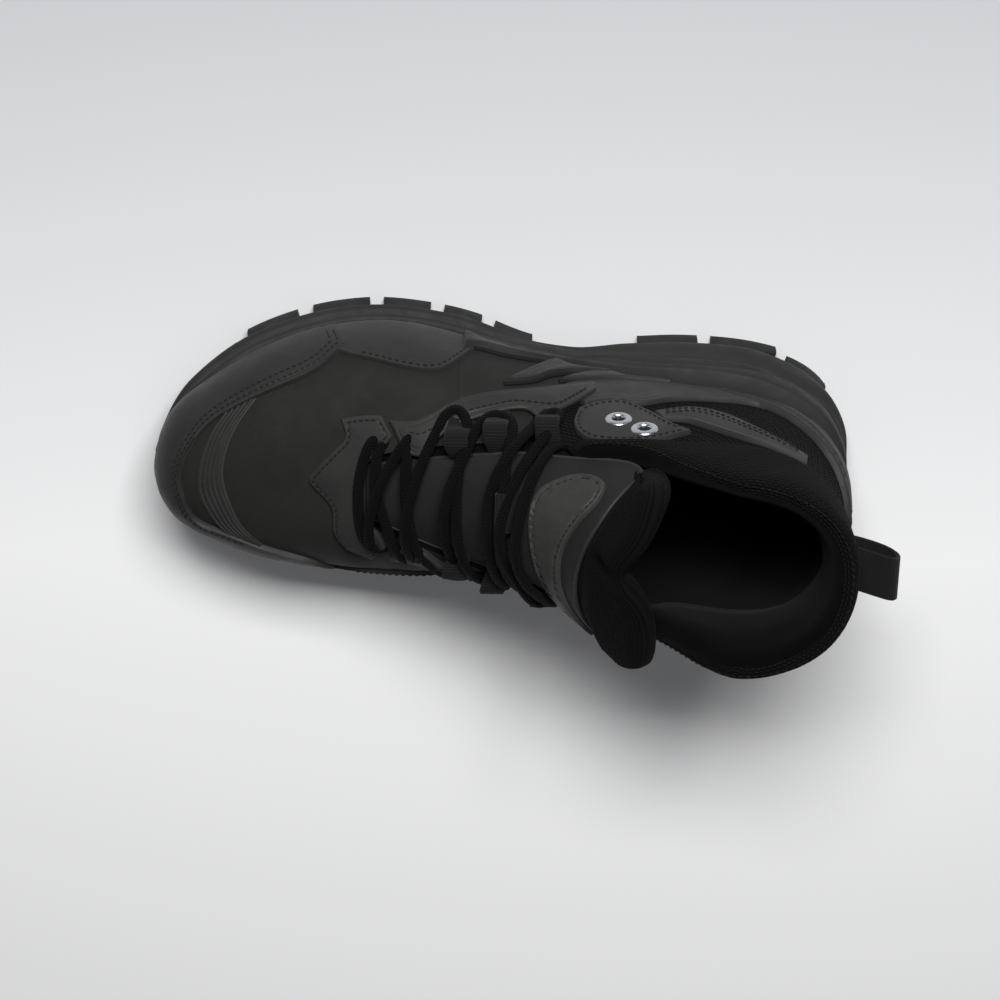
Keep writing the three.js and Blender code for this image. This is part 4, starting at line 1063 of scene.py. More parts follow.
def build_outsole():
    parts = []
    levels = []
    for height, out in ((LUG_DEPTH, -2.2), (LUG_DEPTH + 0.6, -1.5), (LUG_DEPTH + PLATE - 0.4, -0.6),
                        (LUG_DEPTH + PLATE, -0.9)):
        _, station = sole_loop(0.0)
        loop, station = sole_loop(out - 3.0 * smoothstep(286, 298, station) - 2.0 * smoothstep(30, 6, station))
        levels.append(np.column_stack([loop, ground(station) + height]))
    points, faces = lofted(levels)
    count = len(levels[0])
    top = (len(levels) - 1) * count
    half = count // 2
    faces += [(top + k, top + k + 1, top + (count - k - 1) % count, top + (count - k) % count) for k in range(1, half)]
    parts.append((points, faces, points[:, :2]))
    for start, end in SIDE_LUGS:
        for side in (-1, 1):
            a = start * SHOE_LENGTH
            b = end * SHOE_LENGTH
            xs = np.linspace(a, b, 9)
            span = b - a
            rise = 1 - np.abs(2 * (xs - a) / span - 1)
            step = LUG_STEP - 0.6 if 0.1 < start < 0.88 else -0.8
            outer_low = np.array([edge_at(x, side, step) for x in xs])
            outer_top = np.array([edge_at(x, side, step - 0.9) for x in xs])
            inner = np.array([edge_at(x, side, -3.0) for x in xs])
            crest = 7.2 + 3.6 * np.minimum(rise * 1.6, 1)
            rows = []
            foot = ground(xs)
            face = [(inner, foot + 0.6), (outer_low, foot), (outer_low, foot + 1.2), (outer_low, foot + 4.5),
                    (outer_top, foot + crest), (inner, foot + crest + 0.4)]
            for flat, height in face:
                rows.append(np.column_stack([flat, height]))
            grid = np.array(rows)
            n = len(xs)
            m = len(rows)
            points = grid.reshape(-1, 3)
            faces = []
            for r in range(m):
                q = (r + 1) % m
                for k in range(n - 1):
                    faces.append((r * n + k, r * n + k + 1, q * n + k + 1, q * n + k))
            faces.append(tuple(r * n for r in reversed(range(m))))
            faces.append(tuple(r * n + n - 1 for r in range(m)))
            if side > 0:
                faces = [f[::-1] for f in faces]
            parts.append((points, faces, points[:, [0, 2]]))
            taper = 2.5
            middle = (a + b) / 2
            outline = [edge_at(a, side, step - 0.5), edge_at(middle, side, step - 0.5),
                       edge_at(b, side, step - 0.5), edge_at(b - taper, side, -LUG_REACH),
                       edge_at(middle, side, -LUG_REACH - taper), edge_at(a + taper, side, -LUG_REACH)]
            outline = np.array(outline if side < 0 else outline[::-1])
            rings = [lug_ring(outline, 0.02, -0.05), lug_ring(outline, 0.8), lug_ring(outline, LUG_DEPTH + 1)]
            parts.append(block(rings))
    for x, y, long, wide in MIDDLE_LUGS:
        cx = x * SHOE_LENGTH
        cy = y * SOLE_WIDTH
        l = long * SHOE_LENGTH / 2
        w = wide * SOLE_WIDTH / 2
        tip = l * 0.35
        outline = np.array([[cx - l, cy - w], [cx + l - tip, cy - w], [cx + l, cy], [cx + l - tip, cy + w],
                            [cx - l, cy + w], [cx - l + tip, cy]])
        rings = [lug_ring(outline, 0.02, -0.1), lug_ring(outline, 0.7), lug_ring(outline, LUG_DEPTH + 1)]
        parts.append(block(rings))
    points, faces, uv = join(parts)
    piece = make_object("outsole_body", points, faces, uv, np.full(len(points), 5.0), sharp=30)
    bevel = piece.modifiers.new("edges", "BEVEL")
    bevel.width = 0.0003
    bevel.segments = 2
    bevel.limit_method = "ANGLE"
    bevel.angle_limit = math.radians(35)
    return dress(piece, RUBBER, "rubber", "outsole")


# Footbed inside the upper: x, outer edge, inner edge, height of its top
FOOTBED = np.array([
    [29, -15, 11, 35.2], [36, -22, 18, 35.2], [50, -27.5, 24.5, 35.0], [70, -31, 28, 34.0], [90, -35, 30, 32.9],
    [110, -38.5, 31, 31.6], [130, -41.5, 32, 30.4], [150, -46, 33.5, 29.2], [170, -53.5, 36, 27.4],
    [190, -57, 39.5, 26.3], [210, -57.2, 40, 26.4], [230, -54, 38, 28.4], [250, -47.5, 33.5, 31.2],
    [270, -38, 27, 34.2], [284, -28, 20, 36.6], [291, -16, 10, 37.8],
])


def build_footbed():
    rows = catmull(FOOTBED, np.linspace(0, len(FOOTBED) - 1, 90))
    across = np.linspace(-1, 1, 29)
    cup = 1.1 * np.abs(across) ** 4 - 0.5 * (1 - across ** 2)
    edge = np.sqrt(np.maximum(0.0, 1 - np.abs(across) ** 14))
    tops = []
    for x, outer, inner, z in rows:
        y = outer + (inner - outer) * (across + 1) / 2
        tops.append(np.column_stack([np.full(len(across), x), y, z - 1.6 + cup + 1.1 * edge]))
    top = np.array(tops)
    under = top - np.array([0, 0, 1.0]) * (0.4 + 3.4 * edge)[None, :, None]
    long, wide = top.shape[:2]
    base = long * wide
    faces = []
    for r in range(long - 1):
        for k in range(wide - 1):
            a = r * wide + k
            faces.append((a, a + wide, a + wide + 1, a + 1))
            faces.append((base + a, base + a + 1, base + a + wide + 1, base + a + wide))
        for k in (0, wide - 1):
            a = r * wide + k
            f = (a, base + a, base + a + wide, a + wide)
            faces.append(f if k == 0 else f[::-1])
    for k in range(wide - 1):
        for r in (0, long - 1):
            a = r * wide + k
            f = (a, a + 1, base + a + 1, base + a)
            faces.append(f if r == 0 else f[::-1])
    points = np.concatenate([top.reshape(-1, 3), under.reshape(-1, 3)])
    piece = make_object("footbed", points, [f[::-1] for f in faces], points[:, :2], sharp=0)
    dress(piece, LINING, "knit", "insole")


build_midsole()
build_outsole()

# Upper: the throat from above, then the two skins that carry the overlays
THROAT = [
    (206.1, -17.8), (201.0, -22.5), (177.0, -29.8), (156.9, -34.0), (139.5, -37.1), (126.0, -36.1),
    (99.0, -35.5),
]
THROAT_INNER = [
    (206.1, 6.3), (201.0, 11.0), (177.0, 17.2), (156.9, 23.5), (139.5, 30.8), (126.0, 34.0), (99.0, 35.5),
]


def line_inside(piece):
    """Gives the back of a base sheet the lining's cloth."""
    piece.data.materials.append(LINING)
    piece.data.polygons.foreach_set("material_index", list(piece["back"]))
    del piece["back"]


def wavy(base, places):
    """Slow unevenness of a real upper, below a quarter of a millimetre."""
    return 0.12 * np.sin(base[:, 0] / 9.0 + base[:, 1] / 13.0) + 0.1 * np.sin(base[:, 0] / 5.3 - base[:, 2] / 7.0)


# Creases where the forefoot bends: ends from above, width, depth
CREASES = [
    (214, -30, 196, -52, 3.2, -0.55), (203, -36, 190, -54, 2.6, -0.4), (213, 18, 200, 38, 3.0, -0.5),
    (201, 22, 190, 40, 2.4, -0.35), (226, -30, 208, -50, 4.0, 0.35), (222, 22, 208, 38, 4.0, 0.3),
]


def crease_relief(spots, base, distance):
    out = wavy(base, spots)
    for x1, y1, x2, y2, wide, deep in CREASES:
        a = np.array([x1, y1], float)
        b = np.array([x2, y2], float)
        d = b - a
        f = np.clip(((base[:, :2] - a) @ d) / (d @ d), 0, 1)
        off = base[:, :2] - (a + f[:, None] * d)
        away = np.linalg.norm(off, axis=1)
        ends = smoothstep(0, 0.25, f) * smoothstep(1, 0.75, f)
        out = out + deep * ends * np.exp(-(away / wide) ** 2)
    return out


def build_vamp():
    outer = top_line([(x, y, 0) for x, y in THROAT[:5]], closed=False)
    inner = top_line([(x, y, 0) for x, y in THROAT_INNER[:5]], closed=False)
    t_back = outer[-1][0]
    low = [(t, 0.05) for t in np.linspace(t_back, -0.97, 60)]
    round_toe = [(-0.97, s) for s in np.linspace(0.05, 0.95, 40)[1:]]
    back = [(t, 0.95) for t in np.linspace(-0.97, inner[-1][0], 60)[1:]]
    places = np.concatenate([outer, low, round_toe, back, inner[::-1]])
    piece = sheet("vamp", places, lambda p, b, d: crease_relief(p, b, d), lambda p, b, d: np.full(len(b), -WALL),
                  step=3.2, fine=2.0, rows=(1.2,), spread=np.array([15.0, 190.0]))
    dress(piece, NUBUCK, "leather", "upper")
    line_inside(piece)


def build_back():
    """The knit behind the vamp, from one side of the throat round the heel to the other."""
    outer_front = [(t, 0.05) for t in np.linspace(12.6, 8.6, 20)]
    rise = side_line([(150, 30, 0), (150, 50, 0), (146, 66, 0), (138, 84, 0), (132, 96, 1)], -1, False, 0.0)
    crest = side_line([(132, 98, 0), (120, 101, 0), (105, 104, 0), (90, 108, 0), (74, 112, 0), (57, 114, 0),
                       (40, 117, 0), (28, 118, 0)], -1, False, 0.0)
    heel = near_line([(14, -22, 118, 0), (8, 0, 118, 0), (14, 22, 118, 0)], False, 0.0)
    crest_in = side_line([(28, 118, 0), (40, 117, 0), (57, 114, 0), (74, 112, 0), (90, 108, 0), (105, 104, 0),
                          (120, 101, 0), (132, 98, 0)], 1, False, 0.0)
    fall = side_line([(132, 96, 1), (138, 84, 0), (146, 66, 0), (150, 50, 0), (150, 30, 0)], 1, False, 0.0)
    inner_front = [(t, -0.05) for t in np.linspace(8.6, 12.6, 20)]
    under = [(13.0, 0.02), (13.1, 0.0), (13.0, -0.02)]
    places = np.concatenate([outer_front, rise, crest, heel, crest_in, fall, inner_front, under[::-1]])
    piece = sheet("ankle_knit", places, lambda p, b, d: -0.25 + wavy(b, p) * 0.5,
                  lambda p, b, d: np.full(len(b), -WALL), step=3.2, fine=2.0, rows=(1.2,),
                  spread=np.array([22.0, 230.0]))
    dress(piece, KNIT, "knit")
    line_inside(piece)


build_vamp()
build_back()

threads = Threads()
SIDES = (("outer", -1), ("inner", 1))

# Toe cap: its edge on the toe, then the line beside the sole
TOE_CAP = [
    (222, -60, 20, 1), (215, -58, 46, 1), (228, -51, 57, 0), (252, -40, 59, 0), (270, -29, 58, 0), (280, -15, 57, 0),
    (284, -4, 57, 0), (283, 5, 58, 0), (277, 17, 57, 0), (260, 23, 61, 0), (243, 30, 62, 0), (228, 37, 60, 0),
    (219, 43, 47, 1), (221, 45, 20, 1), (252, 38, 20, 0), (272, 29, 22, 0),
]
TOE_CAP_END = [(277, -30, 22, 0), (262, -42, 20, 0), (240, -54, 20, 0)]


def build_toe_cap():
    tip = [(1.2, 0.985), (0.3, 0.99), *[(-0.97, s) for s in np.linspace(0.997, 0.003, 40)], (0.3, 0.01),
           (1.2, 0.015)]
    places = np.concatenate([near_line(TOE_CAP, False), tip, near_line(TOE_CAP_END, False)])
    piece = panel("toe_rand", places, thick=2.0, radius=0.8)
    dress(piece, GUARD_LEATHER, "smooth_leather", "toe_cap")

    def upper_edge(points):
        return (points[:, 2] > 44) | (points[:, 0] < 235)

    for inset, reach in ((2.2, 26), (4.4, 16)):
        threads.seam(places, inset, GAP + 2.05,
                     lambda p: upper_edge(p) & (p[:, 2] > bite(p[:, 0]) + 10) & (p[:, 1] < reach), pitch=2.7)


RIB_FRONT = [(266, -31), (272, -22), (276, -10), (277, 2), (273, 12), (267, 20), (258, 26)]
RIB_REAR = [(251, -40), (259, -29), (264, -18), (266, -6), (263, 6), (258, 17), (250, 26)]


def build_ribs():
    """Stitched ribs behind the toe cap, over a thin panel."""
    front = curve_through([(*p, 0) for p in RIB_FRONT], False, 12)
    rear = curve_through([(*p, 0) for p in RIB_REAR], False, 12)
    outline = np.concatenate([front, rear[::-1]])
    places = np.array([from_above(x, y) for x, y in outline])
    piece = panel("toe_ribs_base", places, thick=0.5, radius=0.5, step=1.6)
    dress(piece, PANEL_LEATHER, "smooth_leather")
    parts = []
    for share in (0.12, 0.3, 0.48, 0.66, 0.84):
        line = front * (1 - share) + rear * share
        spots = spaced(np.array([from_above(x, y) for x, y in line]), 1.2, False)
        path, up = surface(spots, 0.75)
        parts.append(tube(path, 0.62, 8, up))
    points, faces, uv = join(parts)
    piece = make_object("toe_ribs", points, faces, uv, np.full(len(points), 0.6), sharp=0)
    dress(piece, PANEL_LEATHER, "smooth_leather")


GUARD = [
    (224, 46, 1), (214, 51.5, 0), (205, 55, 0), (192, 60, 0), (181, 62, 0), (173, 59, 0), (166, 49, 0), (160, 36, 1),
    (160, 18, 1), (224, 18, 1),
]
BLADES = [
    [(167, 42, 1), (159, 39, 0), (149, 38.5, 0), (138, 36.5, 0), (129, 32.5, 1), (122, 17, 1), (167, 17, 1)],
    [(149.5, 64.5, 1), (143, 62, 0), (136, 57.5, 0), (130, 50, 0), (122, 44, 0), (113, 40, 0), (104, 36.5, 1),
     (104, 17, 1), (122, 17, 1), (127, 30, 0), (134, 42, 0), (141, 53, 0)],
    [(126.5, 54, 1), (119, 51.5, 0), (110, 48, 0), (99, 45, 0), (88, 44, 0), (79, 43, 1), (79, 20, 1),
     (100, 17, 1), (104, 36, 0), (112, 41, 0), (120, 47, 0)],
    [(128, 62, 1), (122, 54, 0), (114, 48, 0), (104, 44, 0), (90, 40, 0), (76, 38, 0), (66, 43, 0),
     (52, 52, 0), (40, 60, 1), (45, 58.5, 0), (57, 60, 0), (72, 62, 0), (82, 64.5, 0), (90, 69, 0), (97, 70, 0),
     (103, 67.5, 0), (111, 70.5, 0), (116, 73, 1), (122, 64, 1)],
]
WING = [
    (88, 79, 1), (74, 73.5, 0), (64, 75, 0), (55, 81, 0), (45, 92, 0), (35, 101, 0), (28, 103.5, 1),
    (29, 110.5, 1), (40, 108, 0), (52, 102.5, 0), (66, 92, 0), (76, 86, 0), (85, 86, 1),
]
# Metal eyelets seen from the side, and how far their panel stands out there
EYELETS = ((103, 88), (93, 97.5))
EYELET_TOP = 2.3
EYELET_PANEL = [
    (119, 77, 1), (112, 72, 0), (104, 69, 0), (97, 71, 0), (89, 80, 0), (82, 90, 0), (74, 97, 1),
    (84, 103, 0), (94, 106, 0), (106, 104, 0), (117, 98, 0), (121, 88, 0),
]
EYESTAY = [
    (196, 75, 1), (186, 78, 0), (179, 78, 0), (172, 76, 0), (162, 73.5, 0), (148, 69.5, 0), (135, 64.5, 0),
    (124, 58.5, 0), (111, 52, 1), (112, 60, 0), (119, 71, 1), (127, 79, 0), (133, 79.5, 0), (136, 83.5, 1),
    (140, 80, 0), (146, 80, 0), (155, 82, 0), (165, 83, 0), (174, 84, 0), (182, 85, 0), (191, 80.5, 1),
]


# Leather under the blades, so that no knit shows between them and the eyestay
SIDE_BASE = [
    (168, 74, 1), (150, 70, 0), (136, 65, 0), (124, 60, 0), (113, 55, 0), (104, 50, 1), (100, 36, 0), (102, 20, 1),
    (168, 20, 1),
]


def shingle(spots, base, distance):
    """A blade is thickest at its edge and thins out under the next one."""
    return 0.35 * np.exp(-((distance - 1.6) / 1.1) ** 2) - 1.3 * smoothstep(2, 11, distance)


def build_side(label, side):
    guard = side_line(GUARD, side)
    piece = panel(f"guard_{label}_panel", guard, thick=1.7)
    dress(piece, PANEL_LEATHER, "smooth_leather", f"guard_{label}")
    threads.seam(guard, 2.0, GAP + 1.75, lambda p: (p[:, 2] > bite(p[:, 0]) + 4) & (p[:, 0] < 212))
    piece = panel(f"quarter_{label}_base", side_line(SIDE_BASE, side), thick=0.35, lift=0.1, radius=0.3)
    dress(piece, NUBUCK, "leather")
    for k, (outline, count) in enumerate(zip(BLADES, (5, 7, 6, 0))):
        places = side_line(outline, side)
        # A dark tube along each blade's edge fills the groove there: painted shade in place of the groove's shadow.
        if count:
            spots = spaced(side_line(outline[:count], side, False), 1.2, False)
            path, up = surface(spots, 1.0)
            points, faces, uv = tube(path, 0.95, 8, up)
            dress(make_object(f"groove_{label}_{k + 1}", points, faces, uv, np.full(len(points), 1.0), sharp=0),
                  GROOVE_SHADE_LEATHER, "smooth_leather")
        thick = (3.9, 3.3, 2.8, 1.6)[k]
        piece = panel(f"quarter_{label}_{k + 1}", places, thick=thick, radius=0.8, relief=shingle if k < 3 else None)
        nodes = (f"quarter_{label}",) if k == 3 else ()
        dress(piece, GUARD_LEATHER, "smooth_leather", *nodes)
    wing = side_line(WING, side)
    piece = panel(f"wing_{label}_band", wing, thick=1.7, puff=0.6)
    dress(piece, PANEL_LEATHER, "smooth_leather", f"wing_{label}")
    middle = side_line([(84, 82, 0), (72, 79.5, 0), (62, 84, 0), (52, 93, 0), (42, 101, 0), (32, 106, 0)], side, False)
    threads.line(spaced(middle, 0.8, False), GAP + 2.25, pitch=2.7)
    lower = side_line([(84, 79.5, 0), (72, 76.4, 0), (62, 80.3, 0), (52, 89.6, 0), (42, 98, 0), (31, 103.6, 0)], side, False)
    threads.line(spaced(lower, 0.8, False), GAP + 2.2, pitch=2.7)
    eyelet_panel = side_line(EYELET_PANEL, side)
    holes = []
    for x, z in EYELETS:
        spot, _ = surface([side_on(x, z, side)])
        holes.append((spot[0], 3.4))
    piece = panel(f"eyelet_{label}_panel", eyelet_panel, thick=1.6, puff=0.3, step=1.3, holes=holes)
    dress(piece, PANEL_LEATHER, "smooth_leather", f"eyelet_panel_{label}")
    threads.seam(eyelet_panel, 2.0, GAP + 1.8)
    eyestay = side_line(EYESTAY, side)
    piece = panel(f"eyestay_{label}_band", eyestay, thick=2.1, lift=GAP + 0.5, radius=1.1, puff=0.6)
    dress(piece, PANEL_LEATHER, "smooth_leather", f"eyestay_{label}")
    piped = side_line([(191, 80.5, 0), (182, 85, 0), (174, 84, 0), (165, 83, 0), (155, 82, 0), (146, 80, 0),
                       (140, 80, 0), (136, 83.5, 1), (133, 79.5, 0), (127, 79, 0), (119, 71, 0), (112, 60, 0)],
                      side, False)
    path, up = surface(spaced(piped, 1.2, False), GAP + 2.1)
    points, faces, uv = tube(path, 1.05, 8, up)
    dress(make_object(f"eyestay_{label}_piping", points, faces, uv, np.full(len(points), 1.0), sharp=0),
          PANEL_LEATHER, "smooth_leather")
    below = side_line([(187, 80, 0), (180, 82, 0), (168, 80.6, 0), (155, 79.2, 0), (146, 77, 0), (139, 76.8, 0),
                       (134, 77, 0), (127, 76, 0), (120, 68.5, 0), (114, 60, 0)], side, False)
    threads.line(spaced(below, 0.8, False), GAP + 3.05, pitch=2.7)


# Heel counter: the strip that sweeps up round the heel, with its grooves
COUNTER = [
    (103, 23), (92, 30), (80, 36.5), (68, 42), (52, 51), (38, 60), (26, 71), (17, 83),
]
COUNTER_BACK = [(11, -17, 89), (7, -9, 92), (6, 0, 93), (7, 9, 92), (11, 17, 89)]


def counter_relief(spots, base, distance):
    ridge = 0.9 * np.exp(-((distance - 2.2) / 1.5) ** 2)
    groove = -1.5 * np.exp(-((distance - 5.4) / 1.0) ** 2)
    band = 0.8 * np.exp(-((distance - 10.5) / 3.4) ** 2)
    second = -1.3 * np.exp(-((distance - 15.5) / 1.0) ** 2)
    low = 0.5 * np.exp(-((distance - 19.0) / 2.4) ** 2)
    return ridge + groove + band + second + low


def build_counter():
    outer = side_line([(x, z, 0) for x, z in COUNTER], -1, False, 0.0)
    back = near_line([(*p, 0) for p in COUNTER_BACK], False, 0.0)
    inner = side_line([(x, z, 0) for x, z in COUNTER[::-1]], 1, False, 0.0)
    under = side_line([(103, 23, 0), (70, 24, 0), (36, 26, 0)], 1, False, 0.0)
    heel = near_line([(10, 18, 28, 0), (4, 0, 29, 0), (10, -18, 28, 0)], False, 0.0)
    home = side_line([(36, 26, 0), (70, 24, 0), (103, 23, 0)], -1, False, 0.0)
    places = np.concatenate([outer, back, inner, under, heel, home])
    piece = panel("heel_strip", places, thick=1.8, radius=1.0, relief=counter_relief, step=1.9, fine=1.1)
    dress(piece, GUARD_LEATHER, "smooth_leather", "heel_counter")


# Collar: height of its top edge and of the seam under the padding
COLLAR_LINE = np.array([
    [-0.05, 1.0, 0.690], [0.10, 1.0, 0.675], [0.19, 0.975, 0.650], [0.247, 0.860, 0.630],
    [0.30, 0.730, 0.620], [0.35, 0.675, 0.600], [0.43, 0.635, 0.550],
])
# Padding's profile: share of the height, millimetres added to it, how far it stands out of the form
COLLAR_PROFILE = [
    (0, -1.0, -0.6), (0, 0.2, 0.6), (0, 1.6, 1.6), (0.12, 2.0, 2.3), (0.3, 1.0, 2.9), (0.5, 0, 3.1),
    (0.7, -1.0, 3.0), (0.86, -2.4, 2.7), (1, -5.0, 2.3), (1, -2.6, 1.6), (1, -1.0, 0.4), (1, 0.0, -1.6),
    (1, 0.1, -3.6), (1, -0.6, -5.4), (1, -2.4, -7.2), (1, -5.4, -8.8), (0.75, -4.0, -9.8), (0.55, -2.0, -10.0),
    (0.35, 0, -9.6), (0.15, 0, -8.8), (0, -2, -7.6), (0, -7, -5.6), (0, -12, -4.0), (0, -15, -3.0),
    (0, -13, -2.5), (0, -7, -2.4), (0, -2, -2.0),
]
COLLAR_TOP = 11
COLLAR_SEAM = 12
COLLAR_POINTS = 36
COLLAR_CENTRE = 62.0
COLLAR_FRONT = 127.0


def on_shaft(turn, height):
    """Point on the form seen along a level line from its middle, and its normal."""
    way = Vector((math.cos(turn), math.sin(turn), 0))
    start = Vector((COLLAR_CENTRE, 0, height)) + way * 200
    hit, normal, _, _ = TREE.ray_cast(start, -way)
    if hit is None:
        hit, normal, _, _ = TREE.find_nearest(Vector((COLLAR_CENTRE, 0, height)) + way * 50)
    if normal.dot(way) < 0:
        normal = -normal
    return np.array(hit), np.array(normal)


def build_collar():
    turns = []
    for sign in (-1, 1):
        low = math.atan2(38.0, COLLAR_FRONT - COLLAR_CENTRE)
        turns.append(sign * low)
    stations = np.linspace(turns[0], turns[1] - 2 * math.pi, 171)
    rings = []
    spots = []
    reach = 0.0
    before = None
    for turn in stations:
        height = 125.0
        for _ in range(4):
            hit, _ = on_shaft(turn, height)
            top, seam = HEEL_SEAT + COLLAR_RISE * along(COLLAR_LINE, hit[0])
            height = (top + seam) / 2
        if before is not None:
            reach += np.linalg.norm(hit - before)
        before = hit
        spots.append((turn, top, seam, reach))
    length = spots[-1][3]
    uv = []
    for turn, top, seam, at in spots:
        tall = top - seam
        squeeze = min(1.0, tall / 22.0)
        end = min(at, length - at)
        close = math.sqrt(max(0.0, 1 - (1 - min(end / 6.5, 1)) ** 2)) * 0.93 + 0.07
        rib = 0.45 * max(0.0, 1 - end / 34) * math.cos(2 * math.pi * at / 3.1)
        thin = 0.62 + 0.38 * smoothstep(8, 55, end)
        middle = seam + tall * 0.45
        ring = []
        for k, (share, extra, out) in enumerate(COLLAR_PROFILE):
            z = seam + share * tall + extra * squeeze
            z = middle + (z - middle) * (0.35 + 0.65 * close)
            out = out if out > 0 else out * thin
            out = -1.8 + (out + 1.8) * close
            if 2 < k < COLLAR_TOP - 1:
                out += rib
                out += 0.25 * math.sin(at / 7.0 + k)
            if k > COLLAR_TOP + 4:
                out += 0.4 * math.sin(at / 11.0 + k * 0.7)
            hit, normal = on_shaft(turn, z)
            level = normal * np.array([1, 1, 0.2])
            level /= np.linalg.norm(level)
            ring.append(hit + level * out)
        ring = np.array(ring)
        reach = lengths(ring)
        shift = -5.0 + 9.0 * smoothstep(20, 75, end)
        turn_at = np.clip(reach[COLLAR_TOP] + shift * close, 3.0, reach[-1] - 8)
        knots = np.concatenate([np.linspace(0, turn_at, COLLAR_SEAM + 1),
                                np.linspace(turn_at, reach[-1], COLLAR_POINTS - COLLAR_SEAM)[1:]])
        ring = np.stack([np.interp(knots, reach, ring[:, c]) for c in range(3)], 1)
        if end > 8:
            middle_of_ring = ring.mean(0)
            inward = middle_of_ring - ring[COLLAR_SEAM]
            ring[COLLAR_SEAM] += inward / np.linalg.norm(inward) * 0.9
        rings.append(ring)
        uv += [(at, k) for k in knots]
    count = COLLAR_POINTS
    for _ in range(2):
        stack = np.array(rings)
        stack[1:-1] = 0.5 * stack[1:-1] + 0.25 * (stack[:-2] + stack[2:])
        rings = list(stack)
    faces = []
    marks = []
    for r in range(len(rings) - 1):
        for k in range(count):
            n = (k + 1) % count
            faces.append((r * count + k, (r + 1) * count + k, (r + 1) * count + n, r * count + n))
            marks.append(0 if k < COLLAR_SEAM else 1)
    faces.append(tuple(range(count)))
    faces.append(tuple(reversed(range((len(rings) - 1) * count, len(rings) * count))))
    marks += [0, 0]
    piece = make_object("collar_padding", np.concatenate(rings), faces, uv, sharp=0)
    dress(piece, KNIT, "knit", "collar")
    piece.data.materials.append(LINING)
    piece.data.polygons.foreach_set("material_index", marks)
    smooth = piece.modifiers.new("smooth", "SUBSURF")
    smooth.levels = 1
    smooth.render_levels = 1
    seam_line = []
    ups = []
    for r in range(3, len(rings) - 3):
        seam_line.append(rings[r][COLLAR_SEAM - 1])
        ups.append(rings[r][COLLAR_SEAM - 1] - rings[r].mean(0))
    thread = Threads()
    path = even(np.array(seam_line), 900)
    normal = even(np.array(ups), 900)
    normal /= np.linalg.norm(normal, axis=1, keepdims=True)
    thread.run(path + normal * 0.1, normal, 3.0, 2.2, 0.3)
    dress(thread.object("collar_stitches"), WEBBING, "webbing")


# Tongue: row of the form, depth of its face under the wall, half width as an angle, thickness
TONGUE_ROWS = np.array([
    [5.6, 0.5, 0.34, 2.8], [6.2, 0.5, 0.52, 3.3], [7, 0.5, 0.62, 3.3], [8, 0.5, 0.76, 3.9], [9, 0.5, 0.86, 4.4],
    [10, 0.5, 0.94, 5.0], [11, 0.4, 1.00, 5.5], [12, 0.3, 1.08, 5.8], [13, -0.3, 1.16, 6.8],
    [14, -0.9, 1.16, 8.0], [14.6, -1.1, 1.06, 8.0], [15, -0.7, 0.80, 6.6],
])


def tongue_row(t):
    place = np.interp(t, TONGUE_ROWS[:, 0], np.arange(len(TONGUE_ROWS)))
    return catmull(TONGUE_ROWS, np.atleast_1d(place))[:, 1:]


def share_of(t, turn):
    """The s of a place whose angle from the ridge is known."""
    angles = np.linspace(0, math.pi, 241)
    sign = 1 if turn <= 0 else -1
    line = section(t, angles * 1.0 if turn <= 0 else -angles)
    reach = lengths(line)
    share = np.interp(math.pi - abs(turn), angles, reach / reach[-1]) / 2
    return share if sign > 0 else 1 - share


def tongue_face(spots):
    """Height of the tongue's face over the form at (t, s) places."""
    return -WALL - GAP - tongue_row(spots[:, 0])[:, 0] + tongue_lift(spots[:, 0], spots[:, 1])


# Rim of the tongue's padding, two lobes with a crease between them: share of the half width, x, y, z
PAD_RIM = np.array([
    [-1.0, 92.0, -39.5, 127], [-0.84, 88.8, -39.8, 141], [-0.66, 88.6, -36.4, 152], [-0.45, 90.9, -28.6, 156.5],
    [-0.2, 95.2, -18.3, 157.5], [-0.02, 101.1, -8.0, 154], [0.1, 103.5, -2.2, 152], [0.24, 97.6, 3.0, 154],
    [0.44, 91.5, 12.8, 152.5], [0.62, 88.9, 26.2, 147], [0.8, 89.2, 41.5, 138.5], [0.92, 92.0, 51.0, 131],
    [1.0, 97.0, 55.5, 124],
])


def tongue_lift(t, s):
    """The inner side of the tongue's top stands off and lies over the collar's end."""
    return 19.0 * smoothstep(0.02, 0.22, s - 0.5) * smoothstep(9.6, 12.4, t)


